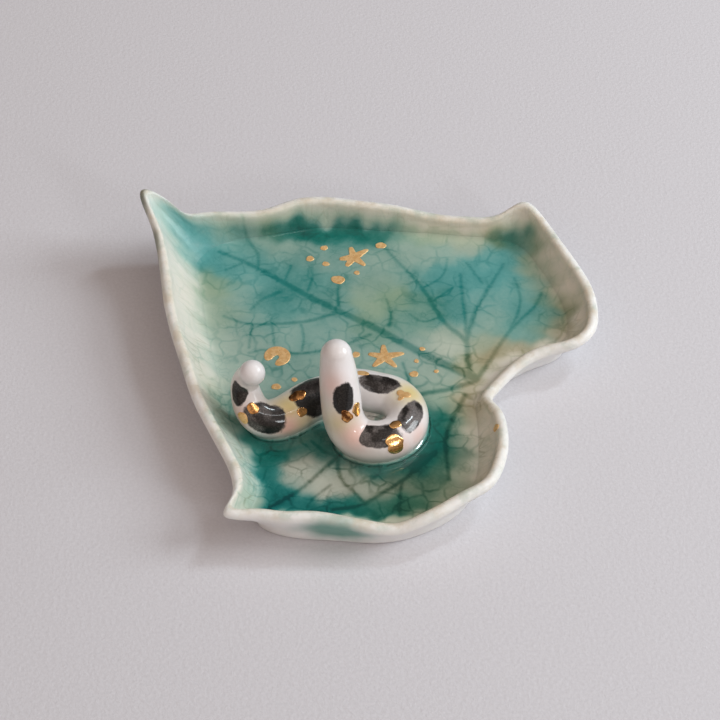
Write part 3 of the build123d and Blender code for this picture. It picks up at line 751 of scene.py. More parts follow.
def vein_edge(flat):
    """How far outside the nearest vein each place lies, below 0 inside it: the distance from the vein's
    spline, less half its width, which tapers from root to tip."""
    places = flat.reshape(-1, 2)
    nearest = np.full(len(places), VEIN_REACH)
    for root_width, tip_width, points in VEINS:
        knots = lengths_along(np.hypot(*np.diff(points, axis=0).T))
        line = spline(knots, points, np.linspace(0, knots[-1], int(knots[-1] / VEIN_STEP) + 3))
        low, high = line.min(axis=0) - VEIN_REACH, line.max(axis=0) + VEIN_REACH
        close = np.all((places > low) & (places < high), axis=1)
        near = places[close]
        starts = line[:-1]
        spans = np.diff(line, axis=0)
        widths = root_width + (tip_width - root_width) * np.arange(len(starts)) / len(starts)
        best = nearest[close]
        for start, span, width in zip(starts, spans, widths):
            way = np.clip((near - start) @ span / (span @ span), 0, 1)
            gap = np.hypot(*(near - start - way[:, None] * span).T) - width / 2
            best = np.minimum(best, gap)
        nearest[close] = best
    return nearest.reshape(flat.shape[:-1])


def glaze_values(flat, thinned=1.0):
    """The float attributes that the glaze's material reads, at each place. The share thins the glaze."""
    values = dict(zip(GLAZE_VALUES, by_glaze_places(flat)))
    values["glaze_thick"] = values["glaze_thick"] * thinned
    values["vein_edge"] = vein_edge(flat)
    return values


# Green stains on the outside of the body: a place, a reach along X, Y and Z, and a strength
OUTER_STAINS = [((-7.0, -51.5, 6.0), (9.0, 5.0, 5.0), 1.15), ((-58.0, 46.0, 14.0), (4.0, 7.0, 7.0), 0.9),
                ((-53.0, 30.0, 8.0), (4.0, 10.0, 8.0), 0.45), ((-47.0, 5.0, 6.0), (4.0, 14.0, 8.0), 0.3),
                ((36.0, -2.0, 4.0), (5.0, 5.0, 3.0), 0.15)]
# Grey-green glaze that ran over the outer edge of the lip, mostly on the left, painted darker there as
# painted shade: a place, a reach along X, Y and Z, and a strength
DRAB_GLAZE_AND_SHADE = [((-57.5, 46.0, 19.0), (3.0, 9.0, 6.0), 1.0), ((-53.0, 32.0, 15.5), (2.2, 9.0, 4.0), 0.9),
               ((-50.5, 18.0, 14.0), (2.0, 8.0, 3.0), 0.6), ((-44.5, -6.0, 13.5), (2.0, 8.0, 3.0), 0.4),
               ((-31.0, -49.5, 11.0), (3.0, 3.0, 4.0), 0.3)]


def bells(grid, rows):
    """The sum at each place of bell curves, one for each row: its middle, its reach along X, Y and Z, and
    its strength."""
    total = np.zeros(grid.shape[:2])
    for place, reaches, strength in rows:
        off = ((grid - np.array(place)) / np.array(reaches)) ** 2
        total += strength * np.exp(-off.sum(axis=2))
    return total


BARE_LIP = 0.15             # the share of the glaze that stays on the lip's crest
BARE_BACK = 0.05            # and how much more stays there at the back
BACK = (34, 44)             # the back begins and is fully reached at these places along Y
LIP_REACH = (0.5, 3.2)      # the glaze thickens over these distances from the crest
BACK_REACH = 2.2            # and ends so much farther from it at the back
RIM_REACH = 1.8             # of the film along the lip


def network_share(grid):
    """How plainly the fine network shows: 1 at the front and 0 at the back."""
    return smooth_step(-grid[..., 1], -25, 15)


def dish_values(grid):
    """Glaze on the body: none outside the wall, thin where it breaks over the lip, most of all at the front,
    and the same as the pool's from there down. The inside value is 0 outside the lip and 1 inside it, and
    the rim value is 1 along the lip."""
    rows = np.arange(len(grid))[:, None] + np.zeros((1, WALL_COLUMNS))
    lip_row = len(FOOT_SHARES) + LIP_ROW
    inside = smooth_step(rows, lip_row - 1.5, lip_row + 2.5)
    crest = grid[lip_row]
    from_lip = np.linalg.norm(grid - crest, axis=2)
    at_back = smooth_step(grid[..., 1], *BACK)
    bare = BARE_LIP + BARE_BACK * at_back
    thickened = smooth_step(from_lip, LIP_REACH[0], LIP_REACH[1] + BACK_REACH * at_back)
    thinned = inside * (bare + (1 - bare) * thickened)
    values = glaze_values(grid[..., :2], thinned)
    values["inside"] = inside
    values["rim"] = np.exp(-(from_lip / RIM_REACH) ** 2)
    values["stain"] = bells(grid, OUTER_STAINS)
    values["drab_glaze_and_shade"] = bells(grid, DRAB_GLAZE_AND_SHADE)
    values["network"] = inside * (0.35 + 0.65 * network_share(grid))
    return values


BAND_THICK = 0.92           # the glaze's thickness in the dark band along the front of the coil
BAND_START = 0.8            # where the band begins to fade, and how slowly
BAND_FADE = 2.2
HOLE_SPREAD = 34            # of the pale place in the loop's hole


def pool_values(grid):
    """Glaze in the pool: dark in a band along the coil where it is deep, and pale on the clay just under it
    and in the loop's hole."""
    flat = grid[..., :2]
    values = glaze_values(flat)
    from_coil = coil_distance(flat)
    front = smooth_step(-grid[..., 1], -4, 14)
    band = front * np.exp(-np.maximum(from_coil - BAND_START, 0) / BAND_FADE)
    thick = values["glaze_thick"]
    in_hole = np.exp(-((flat - LOOP_PLACE) ** 2).sum(axis=2) / HOLE_SPREAD)
    thick = thick + (BAND_THICK - thick) * band * 0.55 * (1 - in_hole)
    thick = thick * (0.25 + 0.75 * smooth_step(from_coil, -0.3, 1.0)) * (1 - in_hole)
    values["glaze_thick"] = thick
    values["coil_gap"] = from_coil
    values["network"] = 0.65 + 0.45 * network_share(grid)
    return values


# Materials

def new_material(name):
    material = bpy.data.materials.new(name)
    material.use_nodes = True
    return material, material.node_tree, material.node_tree.nodes["Principled BSDF"]


def fill(tree, node, inputs):
    """Sets each of these inputs of a node to its value, or joins it to another node's output."""
    for name, value in inputs.items():
        if isinstance(value, bpy.types.NodeSocket):
            tree.links.new(value, node.inputs[name])
        else:
            node.inputs[name].default_value = value


def add_node(tree, kind, inputs, **settings):
    """A new node with these settings and inputs."""
    node = tree.nodes.new("ShaderNode" + kind)
    for name, value in settings.items():
        setattr(node, name, value)
    fill(tree, node, inputs)
    return node


def reckon(tree, operation, *values):
    return add_node(tree, "Math", dict(enumerate(values)), operation=operation).outputs[0]


def times(tree, first, second):
    return reckon(tree, "MULTIPLY", first, second)


def times_plus(tree, first, second, third):
    return reckon(tree, "MULTIPLY_ADD", first, second, third)


def sway(tree, wave, size, value):
    """The value, raised where a noise is over a half and lowered where it is under."""
    return times_plus(tree, reckon(tree, "SUBTRACT", wave, 0.5), size, value)


def within(tree, value, low, high, out_low=0.0, out_high=1.0):
    """The value's place between low and high, as an even S between the two results."""
    ends = {"From Min": low, "From Max": high, "To Min": out_low, "To Max": out_high}
    return add_node(tree, "MapRange", {"Value": value, **ends},
                    interpolation_type="SMOOTHSTEP").outputs["Result"]


def blend(tree, share, first, second, way="MIX"):
    node = add_node(tree, "Mix", {}, data_type="RGBA", blend_type=way)
    fill(tree, node, {0: share, 6: first, 7: second})
    return node.outputs[2]


def tint(red, green, blue):
    """A colour given as it shows, in shares of 255, made linear."""
    return (*[(value / 255 / 12.92) if value < 11 else ((value / 255 + 0.055) / 1.055) ** 2.4
              for value in (red, green, blue)], 1)


def colour_ramp(tree, value, stops):
    node = add_node(tree, "ValToRGB", {"Fac": value})
    points = node.color_ramp.elements
    while len(points) < len(stops):
        points.new(1.0)
    for point, (place, colour) in zip(points, stops):
        point.position = place
        point.color = tint(*colour)
    return node.outputs["Color"]


def attribute(tree, name):
    return add_node(tree, "Attribute", {}, attribute_name=name).outputs["Fac"]


def scaled(tree, vector, scale):
    return add_node(tree, "VectorMath", {0: vector, "Scale": scale}, operation="SCALE").outputs["Vector"]


def millimetres(tree):
    """Object coordinates in millimetres."""
    return scaled(tree, add_node(tree, "TexCoord", {}).outputs["Object"], 1 / METRES)


def noise(tree, place, scale, detail=2.0, rough=0.5, output="Fac"):
    inputs = {"Vector": place, "Scale": scale, "Detail": detail, "Roughness": rough}
    return add_node(tree, "TexNoise", inputs, noise_dimensions="3D").outputs[output]


def cracks(tree, place, scale, randomness, dimensions="3D"):
    """Distance from the nearest line between two cells of an uneven pattern."""
    return add_node(tree, "TexVoronoi", {"Vector": place, "Scale": scale, "Randomness": randomness},
                    feature="DISTANCE_TO_EDGE", voronoi_dimensions=dimensions).outputs["Distance"]


# The glaze group's inputs: each one's usual value, and the attribute that feeds it
GLAZE_INPUTS = {
    "Thickness": (0.5, "glaze_thick"),
    "Grey": (0.0, "glaze_grey"),
    "Blue": (0.0, "glaze_blue"),
    "Olive": (0.0, "glaze_olive"),
    "Brown": (0.0, "glaze_brown"),
    "Vein edge": (5.0, "vein_edge"),
    "Network": (1.0, "network"),
}
# The glaze's colours from bare to deepest, plain and where it breaks into other colours
PLAIN_STOPS = [(0.00, (228, 224, 215)), (0.12, (209, 214, 204)), (0.28, (180, 198, 186)),
               (0.45, (150, 178, 167)), (0.60, (112, 157, 149)), (0.75, (54, 126, 118)),
               (0.88, (8, 106, 96)), (1.00, (2, 76, 70))]
OTHER_STOPS = {
    "Grey": [(0.00, (224, 221, 214)), (0.30, (186, 190, 178)), (0.50, (146, 152, 140)),
             (0.68, (96, 106, 90)), (0.84, (44, 60, 48)), (1.00, (6, 38, 35))],
    "Blue": [(0.00, (222, 228, 224)), (0.30, (156, 196, 192)), (0.58, (86, 158, 157)),
             (0.78, (30, 122, 122)), (1.00, (0, 66, 72))],
    "Olive": [(0.00, (226, 220, 202)), (0.30, (172, 182, 152)), (0.50, (130, 155, 122)),
              (0.75, (66, 110, 76)), (1.00, (14, 66, 44))],
    "Brown": [(0.00, (230, 222, 210)), (0.20, (212, 200, 178)), (0.45, (162, 150, 118)),
              (0.70, (110, 104, 70)), (1.00, (60, 58, 34))],
}


def new_glaze_group():
    """An empty node group with the glaze's inputs, and a colour and a height as its outputs."""
    group = bpy.data.node_groups.new("leaf_glaze", "ShaderNodeTree")
    for label, (value, _) in GLAZE_INPUTS.items():
        socket = group.interface.new_socket(name=label, in_out="INPUT", socket_type="NodeSocketFloat")
        socket.default_value = value
    for label, kind in (("Color", "NodeSocketColor"), ("Height", "NodeSocketFloat")):
        group.interface.new_socket(name=label, in_out="OUTPUT", socket_type=kind)
    return group, group.nodes.new("NodeGroupInput").outputs, group.nodes.new("NodeGroupOutput").inputs


def fine_network(group, place):
    """The fine cracks between the veins, in two sizes that each fade in and out."""
    stir = noise(group, place, 0.16, output="Color")
    stir = add_node(group, "VectorMath", {0: stir, 1: (0.5, 0.5, 0.5)}, operation="SUBTRACT")
    stir = scaled(group, stir.outputs["Vector"], 5.0)
    bent = add_node(group, "VectorMath", {0: place, 1: stir}).outputs["Vector"]
    fade_wide = noise(group, place, 0.13, 3.0)
    fade_fine = noise(group, bent, 0.21)
    wide = within(group, cracks(group, bent, 0.22, 0.85), 0.13, 0.0)
    fine = within(group, cracks(group, bent, 0.52, 0.95), 0.12, 0.0)
    wide = times(group, wide, within(group, fade_wide, 0.36, 0.66))
    fine = times(group, fine, within(group, fade_fine, 0.45, 0.70))
    return times_plus(group, fine, 0.45, wide)


def build_glaze_group():
    """Colour and relief of the leaf-green glaze. It is pale where it is thin and dark teal where it is
    thick. It gathers in the veins and in the fine network between them, so both show as darker lines."""
    group, given, result = new_glaze_group()
    place = millimetres(group)
    network = times(group, fine_network(group, place), given["Network"])
    edge = sway(group, noise(group, place, 0.9), 0.5, given["Vein edge"])
    vein = within(group, edge, 0.70, -0.45)
    halo = within(group, edge, 3.5, -0.5)
    lines = times(group, times(group, vein, given["Network"]), 0.24)
    lines = times_plus(group, halo, 0.04, lines)
    lines = times_plus(group, network, 0.16, lines)
    thick = given["Thickness"]
    deep = times_plus(group, lines, times_plus(group, thick, -0.6, 1.2), thick)
    grain = sway(group, noise(group, place, 1.1, 3.0, 0.6), 0.10, 0.0)
    drift = sway(group, noise(group, place, 0.11, 4.0, 0.55), 0.34, grain)
    deep = times_plus(group, drift, times(group, thick, 1.1), deep)
    deep = times_plus(group, deep, 0.96, -0.05)
    colour = colour_ramp(group, deep, PLAIN_STOPS)
    for label, stops in OTHER_STOPS.items():
        colour = blend(group, given[label], colour, colour_ramp(group, deep, stops))
    group.links.new(colour, result["Color"])
    dent = times_plus(group, vein, -0.03, times(group, network, -0.012))
    group.links.new(times_plus(group, noise(group, place, 0.25), 0.10, dent), result["Height"])
    return group


def place_glaze(tree, group):
    """The glaze group in a material, fed from the piece's own attributes."""
    node = tree.nodes.new("ShaderNodeGroup")
    node.node_tree = group
    fill(tree, node, {label: attribute(tree, name) for label, (_, name) in GLAZE_INPUTS.items()})
    return node.outputs


def relief(tree, height):
    """The normal of a surface with this height in millimetres."""
    return add_node(tree, "Bump", {"Height": height, "Distance": METRES, "Strength": 1.0}).outputs["Normal"]


def bare_porcelain(tree, place):
    """Cream clay, with green stains, and grey-green glaze on the left that is painted darker as painted
    shade, where the piece's attributes put them.
    """
    tone = noise(tree, place, 0.05, 3.0)
    cloud = noise(tree, place, 0.16, 3.0)
    cream = blend(tree, within(tree, tone, 0.35, 0.65), tint(238, 238, 236), tint(231, 230, 226))
    stain = within(tree, sway(tree, cloud, 0.5, attribute(tree, "stain")), 0.05, 1.0)
    # Grey-green glaze over the left edge of the lip, darkened as painted shade
    drab_glaze_and_shade = within(tree, sway(tree, cloud, 0.6, attribute(tree, "drab_glaze_and_shade")), 0.1, 0.9)
    return blend(tree, drab_glaze_and_shade, blend(tree, stain, cream, tint(112, 160, 148)), tint(112, 122, 106))


def wall_craze(tree, place):
    """Cracks across the wall in short steps, in patches."""
    rim = add_node(tree, "UVMap", {}, uv_map="round_and_up").outputs["UV"]
    steps = add_node(tree, "Mapping", {"Vector": rim, "Scale": (0.42, 0.10, 1.0)}).outputs["Vector"]
    steps = blend(tree, 0.05, steps, noise(tree, place, 0.5, output="Color"), "LINEAR_LIGHT")
    craze = within(tree, cracks(tree, steps, 1.0, 0.8, "2D"), 0.07, 0.0)
    craze = times(tree, craze, attribute(tree, "network"))
    return times(tree, craze, within(tree, noise(tree, place, 0.12), 0.4, 0.6))


def build_porcelain(group):
    """The body: cream porcelain outside, stained here and there, and inside the leaf's glaze, crazed across
    the wall in short steps. A thin film of glaze lies along the lip, and a little light passes through the
    clay."""
    material, tree, shader = new_material("porcelain")
    inside = attribute(tree, "inside")
    glaze = place_glaze(tree, group)
    place = millimetres(tree)
    craze = times(tree, wall_craze(tree, place), 0.6)
    inner = blend(tree, craze, glaze["Color"], tint(196, 196, 176), "MULTIPLY")
    colour = blend(tree, inside, bare_porcelain(tree, place), inner)
    blotch = within(tree, noise(tree, place, 0.22, 4.0, 0.6), 0.40, 0.66, 0.05, 0.60)
    hue = within(tree, noise(tree, place, 0.17), 0.42, 0.58)
    film = blend(tree, hue, tint(196, 184, 160), tint(164, 178, 162))
    fill(tree, shader, {
        "Base Color": blend(tree, times(tree, attribute(tree, "rim"), blotch), colour, film),
        "Roughness": within(tree, inside, 0.0, 1.0, 0.40, 0.34),
        "Specular IOR Level": 0.25,
        "Coat Weight": 0.08,
        "Coat Roughness": 0.10,
        "Subsurface Weight": 0.5,
        "Subsurface Radius": (1.0, 0.95, 0.88),
        "Subsurface Scale": 0.0025,
        "Normal": relief(tree, times_plus(tree, noise(tree, place, 0.3, 3.0), 0.22, glaze["Height"])),
    })
    return material


RIDGE_PLACE = 1.15          # how far from the coil the glaze's fine edge runs, and how wide and high it is
RIDGE_WIDTH = 0.22
RIDGE_HEIGHT = 0.42


def build_pool_glaze(group):
    """The pooled glaze: deep, glassiest round the coil, and drawn up there in a fine broken edge."""
    material, tree, shader = new_material("pool_glaze")
    glaze = place_glaze(tree, group)
    gap = attribute(tree, "coil_gap")
    off = reckon(tree, "DIVIDE", reckon(tree, "SUBTRACT", gap, RIDGE_PLACE), RIDGE_WIDTH)
    ridge = reckon(tree, "POWER", 2.718, times(tree, times(tree, off, off), -1.0))
    broken = within(tree, noise(tree, millimetres(tree), 0.45), 0.38, 0.46, 0.0, RIDGE_HEIGHT)
    fill(tree, shader, {
        "Base Color": glaze["Color"],
        "Roughness": 0.26,
        "Specular IOR Level": 0.25,
        "Coat Weight": within(tree, gap, 2.0, 4.5, 1.0, 0.12),
        "Coat IOR": 1.65,
        "Coat Roughness": 0.02,
        "Normal": relief(tree, times_plus(tree, ridge, broken, glaze["Height"])),
    })
    return material


def charcoal(tree, place):
    """Soot that was brushed on: black, and where the brush wore it thin, grey with pale specks."""
    cloud = noise(tree, place, 0.30)
    speck = noise(tree, place, 3.2, 4.0, 0.7)
    worn = times(tree, within(tree, cloud, 0.42, 0.60, 0.05, 1.0), attribute(tree, "brushed"))
    soot = blend(tree, worn, tint(10, 7, 6), tint(92, 87, 86))
    dust = times(tree, within(tree, speck, 0.44, 0.66), times_plus(tree, worn, 0.75, 0.10))
    return blend(tree, dust, soot, tint(138, 131, 128))


def build_coil_porcelain():
    """White clay with brushed charcoal patches, a pink blush round them and faint yellow stains, all under a
    clear gloss. Near its foot it takes on the glaze's green, and is painted darker there as painted shade
    and a painted reflection of the glaze."""
    material, tree, shader = new_material("coil_porcelain")
    place = millimetres(tree)
    tone = within(tree, noise(tree, place, 0.12, 3.0), 0.35, 0.65)
    height = add_node(tree, "SeparateXYZ", {0: place}).outputs["Z"]
    fringe = noise(tree, place, 1.1, 4.0, 0.65)
    colour = blend(tree, tone, tint(233, 230, 231), tint(224, 219, 217))
    colour = blend(tree, attribute(tree, "yellow"), colour, tint(218, 200, 138))
    colour = blend(tree, attribute(tree, "blush"), colour, tint(230, 182, 168))
    # Green and darker towards the foot: the glaze's green tint, plus painted shade and a painted reflection
    # of the glaze under the coil
    colour = blend(tree, within(tree, height, 9.4, 5.4, 0.0, 0.75), colour, tint(122, 142, 130))
    cover = within(tree, sway(tree, fringe, 0.30, attribute(tree, "black")), -0.06, 0.10)
    fill(tree, shader, {
        "Base Color": blend(tree, cover, colour, charcoal(tree, place)),
        "Roughness": 0.34,
        "Specular IOR Level": 0.22,
        "Coat Weight": 0.6,
        "Coat Roughness": 0.05,
        "Normal": relief(tree, times(tree, noise(tree, place, 0.22, 3.0), 0.22)),
    })
    return material


def build_gold_lustre():
    """Gold brushed on thin, with tiny dark pits. By its tone it is a dark lustre, bright gold, or pale and
    half matte. The dark and pale tones are partly painted reflection: dark where a patch faces dark
    surroundings, pale where it faces the bright room overhead."""
    material, tree, shader = new_material("gold_lustre")
    place = millimetres(tree)
    tone = attribute(tree, "tone")
    matte = within(tree, tone, 0.5, 1.0)
    pits = noise(tree, place, 2.6, 3.0, 0.6)
    wear = noise(tree, place, 0.9)
    # Pale tone: partly a painted reflection of the bright room overhead, on flecks that face up
    pale = blend(tree, within(tree, wear, 0.35, 0.65), tint(246, 206, 148), tint(232, 184, 122))
    # Dark tone: partly a painted dark reflection of the surroundings, on patches that face away from the
    # light
    dark = blend(tree, within(tree, wear, 0.40, 0.62), (0.16, 0.06, 0.02, 1), (0.80, 0.40, 0.14, 1))
    gold = blend(tree, within(tree, tone, 0.0, 0.5), dark, (0.96, 0.58, 0.24, 1))
    gold = blend(tree, matte, gold, pale)
    fill(tree, shader, {
        "Base Color": blend(tree, within(tree, pits, 0.60, 0.70, 0.0, 0.8), gold, tint(128, 92, 58)),
        "Metallic": within(tree, matte, 0.0, 1.0, 1.0, 0.45),
        "Roughness": within(tree, matte, 0.0, 1.0, 0.12, 0.42),
        "Normal": relief(tree, times(tree, pits, 0.03)),
    })
    return material


def build_paper():
    """The felt-marked paper under the dish."""
    material, tree, shader = new_material("felt_paper")
    place = millimetres(tree)
    tone = within(tree, noise(tree, place, 1.4), 0.3, 0.7)
    fill(tree, shader, {
        "Base Color": blend(tree, tone, tint(212, 211, 216), tint(207, 206, 211)),
        "Roughness": 0.95,
        "Specular IOR Level": 0.1,
        "Normal": relief(tree, times(tree, noise(tree, place, 0.9, 4.0, 0.6), 0.14)),
    })
    return material


# What is painted on the coil

# Charcoal patches: a place on the coil's skin, half their length along it and round it, and how brushed out
# they are, from black to grey
BLACK_PATCHES = [
    ((-5.4, -24.2, 21.2), 3.8, 2.6, 0.0),
    ((2.4, -28.0, 12.6), 4.6, 3.0, 0.7),
    ((10.7, -22.1, 12.7), 3.8, 2.9, 1.0),
    ((3.2, -11.9, 12.9), 5.2, 2.6, 0.7),
    ((-30.1, -18.2, 16.6), 3.6, 2.4, 0.1),
    ((-23.8, -22.8, 12.6), 4.4, 4.0, 0.6),
    ((-12.9, -15.5, 12.8), 4.6, 5.6, 0.2),
]
# Stains: a place on the coil's skin, a reach and a strength
COIL_STAINS = {
    "blush": [((-8.6, -23.6, 24.5), 2.6, 0.6), ((-2.8, -28.0, 12.5), 2.4, 0.8),
              ((13.0, -26.0, 9.5), 2.4, 0.6), ((-18.6, -23.0, 9.5), 2.2, 0.9),
              ((-29.5, -21.0, 11.0), 2.6, 0.6), ((8.5, -28.5, 9.5), 2.4, 0.4),
              ((-3.8, -26.5, 17.0), 2.0, 0.4)],
    "yellow": [((-18.3, -19.5, 12.5), 3.0, 1.0), ((-6.0, -26.0, 15.5), 2.6, 0.7),
               ((10.2, -15.0, 12.0), 2.8, 1.0), ((-15.5, -21.0, 9.5), 3.0, 0.7)],
}
PATCH_POWER = 2.6           # over 2, so that the ovals are a little square
PATCH_WAVE = 0.07           # the size of the waves in their edges


def coil_values(grid):
    """What is painted on the coil: for each charcoal patch, 1 less the oval distance from its middle,
    measured along the coil and round it; and bell-shaped stains."""
    cap = COIL_CAP_ROWS
    lengths, radii = (np.pad(COIL[key], cap, mode="edge") for key in ("at", "radius"))
    angles = even_angles(COIL_AROUND)
    black = np.full(grid.shape[:2], -1.0)
    brushed = np.zeros(grid.shape[:2])
    for place, half_length, half_width, share in BLACK_PATCHES:
        at, angle = nearest_on_coil(np.array(place))
        turn = (angles - angle + pi) % (2 * pi) - pi
        along, over = (lengths[:, None] - at) / half_length, turn * radii[:, None] / half_width
        along, over = along + PATCH_WAVE * np.sin(3 * over + at), over + PATCH_WAVE * np.sin(3 * along - at)
        oval = (np.abs(along) ** PATCH_POWER + np.abs(over) ** PATCH_POWER) ** (1 / PATCH_POWER)
        brushed = np.where(1 - oval > black, share, brushed)
        black = np.maximum(black, 1 - oval)
    black[:cap] = -1
    black[-cap:] = -1
    values = {"black": black, "brushed": brushed}
    for label, stains in COIL_STAINS.items():
        shade = np.zeros(grid.shape[:2])
        for place, reach, strength in stains:
            off = np.linalg.norm(grid - np.array(place), axis=2)
            shade = np.maximum(shade, strength * np.exp(-off ** 2 / (2 * reach ** 2)))
        values[label] = shade
    return values


# The gold

# The rings of a fleck's top as shares of its outline, how far up its thickness each one lies, and the rings
# of its underside
FLECK_TOP = [1.00, 0.985, 0.95, 0.89, 0.80, 0.65, 0.45, 0.25, 0.0]
FLECK_LIFTS = [0.25, 0.62, 0.86, 0.97, 1.0, 1.0, 1.0, 1.0, 1.0]
FLECK_UNDER = [0.0, 0.5, 1.0]
DAB_COLUMNS = 120           # round a dab, and round the outline of a star or the crescent
CUT_COLUMNS = 240


def fleck(name, outline, lay, material, node, tone=1.0):
    """A thin gold fleck: rings that shrink from an outline to its middle, laid on a surface, with a rounded
    edge. Its underside sinks a little into the surface."""
    rings = np.array(FLECK_UNDER + FLECK_TOP)[:, None]
    lifts = [-GOLD_SINK] * len(FLECK_UNDER) + [share * GOLD_THICKNESS for share in FLECK_LIFTS]
    along, across = outline
    grid = lay(rings * along, rings * across, np.array(lifts)[:, None] + along * 0)
    piece = shell(name, grid, material, {"tone": np.full(grid.shape[:2], tone)})
    put_on_root(piece, node, slot="gold_lustre")


def outline_of(reach):
    """Points of an outline, along and across, from its reach at even angles."""
    angles = even_angles(len(reach))
    return reach * np.cos(angles), reach * np.sin(angles)


def star_reach(arms):
    """Reach at each angle of a hand-cut star: the greatest of its arms, each a bar that narrows from its
    root's half width to its tip's and ends blunt, with corners rounded by averaging over neighbouring
    angles."""
    angles = even_angles(CUT_COLUMNS)
    reach = np.zeros(len(angles))
    for turn, length in arms:
        off = (angles - radians(turn) + pi) % (2 * pi) - pi
        side = STAR_ROOT / (np.abs(np.sin(off)) + (STAR_ROOT - STAR_TIP) / length * np.cos(off))
        end = length / np.cos(np.clip(off, -1.2, 1.2))
        reach = np.where(np.abs(off) < pi / 2, np.maximum(reach, np.minimum(side, end)), reach)
    for _ in range(6):
        reach = (np.roll(reach, 1) + reach * 2 + np.roll(reach, -1)) / 4
    return reach * (1 + 0.03 * np.sin(7 * angles + 1) + 0.02 * np.sin(13 * angles))


def oval_reach(length, width, wobble, seed):
    """Reach of a hand-dabbed oval at each angle, with slow waves that make it uneven."""
    angles = even_angles(DAB_COLUMNS)
    reach = 1 / np.hypot(np.cos(angles) / length, np.sin(angles) / width)
    wave = np.sin(2 * angles + seed * 1.7) + 0.8 * np.sin(3 * angles + seed * 2.9)
    wave += 0.5 * np.sin(5 * angles + seed * 0.7)
    return reach * (1 + wobble * wave)


def butterfly_reach():
    """Reach of a dab with three round lobes."""
    angles = even_angles(DAB_COLUMNS)
    return 1.45 + 0.52 * np.cos(3 * angles + 0.6) + 0.2 * np.cos(angles - 0.8)


MOON_POWER = 0.6            # under 1, so that the crescent's ends are square


def moon_outline():
    """Outline of the crescent as if its band were straight: a blunt oval, whose powers of cosine and sine
    make its ends square, with slow waves."""
    angles = even_angles(CUT_COLUMNS)
    along, across = np.cos(angles), np.sin(angles)
    wave = 1 + 0.03 * np.sin(3 * angles + 1) + 0.03 * np.sin(5 * angles)
    along = np.sign(along) * np.abs(along) ** MOON_POWER * MOON_LENGTH / 2
    return along, np.sign(across) * np.abs(across) ** MOON_POWER * MOON_BAND / 2 * wave


def over_pool(x, y, lift):
    """Places at a height over the glaze."""
    flat = np.stack([x, y], axis=2)
    return np.concatenate([flat, (pool_top(flat) + lift)[..., None]], axis=2)


def lay_on_pool(place):
    """Lays a fleck flat on the glaze."""
    def lay(along, across, lift):
        return over_pool(place[0] + along, place[1] + across, lift)
    return lay


def lay_moon(place):
    """Lays the crescent's band round an arc on the glaze."""
    def lay(along, across, lift):
        turn = radians(MOON_TURN) - along / MOON_RADIUS
        radius = MOON_RADIUS + across
        return over_pool(place[0] + radius * np.cos(turn), place[1] + radius * np.sin(turn), lift)
    return lay


def lay_on_coil(at, angle):
    """Lays a fleck on the coil's skin: its length runs along the coil and its width round it."""
    def lay(along, across, lift):
        radius = np.interp(at, COIL["at"], COIL["radius"])
        return coil_point(at + along, angle + across / radius, lift + GOLD_LIFT)
    return lay


def lay_on_wall(column, row):
    """Lays a fleck on the wall's inner side: its length runs round the dish and its width up the wall."""
    round_way = wall[row, column + 1] - wall[row, column - 1]
    up_way = wall[row + 1, column] - wall[row - 1, column]
    out = np.cross(round_way, up_way)
    out = out / np.linalg.norm(out)
    round_step = np.linalg.norm(round_way) / 2
    up_step = np.linalg.norm(up_way) / 2

    def lay(along, across, lift):
        columns = np.clip(column + along / round_step, 0, WALL_COLUMNS - 1.001)
        rows = np.clip(row + across / up_step, 0, len(wall) - 1.001)
        left, low = columns.astype(int), rows.astype(int)
        way_left, way_low = (columns - left)[..., None], (rows - low)[..., None]
        first = wall[low, left] * (1 - way_left) + wall[low, left + 1] * way_left
        second = wall[low + 1, left] * (1 - way_left) + wall[low + 1, left + 1] * way_left
        return first * (1 - way_low) + second * way_low + out * (lift[..., None] + GOLD_LIFT)
    return lay


def node_box(node):
    """Middle and size of a node's box, in millimetres."""
    low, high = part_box(node)
    return np.array((low + high) / 2) / METRES, np.array(high - low) / METRES


def nearest_on_coil(place):
    """The length and the angle on the coil's skin that come nearest to a place."""
    at, angle = np.meshgrid(COIL["at"], even_angles(COIL_AROUND), indexing="ij")
    off = np.linalg.norm(coil_point(at, angle) - place, axis=2)
    row, column = np.unravel_index(np.argmin(off), off.shape)
    return COIL["at"][row], column / COIL_AROUND * 2 * pi


FAR_STAR = (-3.1, 37.6)
FAR_ARMS = [(38, 4.7), (102, 3.8), (189, 3.9), (240, 3.9), (315, 4.0)]
NEAR_STAR = (4.5, 3.0)
NEAR_ARMS = [(15, 5.0), (93, 4.0), (166, 4.0), (230, 4.3), (310, 4.3)]
STAR_ROOT = 1.22            # half an arm's width at its root, and at its tip
STAR_TIP = 0.48
MOON_PLACE = (-22.0, 3.0)
MOON_RADIUS = 1.95          # of the middle of its band
MOON_BAND = 2.9
MOON_LENGTH = 10.6
MOON_TURN = 56              # the way that the middle of the band lies in
DOT_COUNT = 14

# Gold on the coil, one row for each patch: half its length along the coil, half its width round it, how
# lobed it is, and its tone from dark to pale, which is partly painted reflection: dark where the patch faces
# dark surroundings, pale where it faces up
COIL_GOLD = [
    (1.6, 1.3, 0.12, 0.45),
    (1.5, 1.3, 0.14, 0.00),
    (1.5, 2.3, 0.10, 0.50),
    (1.4, 1.1, 0.04, 0.50),
    (2.0, 1.5, 0.20, 0.85),
    (1.5, 0.8, 0.04, 0.90),
    (2.5, 1.3, 0.10, 0.10),
    (1.2, 1.2, 0.08, 0.20),
    (1.5, 1.3, 0.06, 0.15),
    (1.1, 1.2, 0.06, 0.85),
]
BUTTERFLY = 5               # the number of the patch that has three lobes


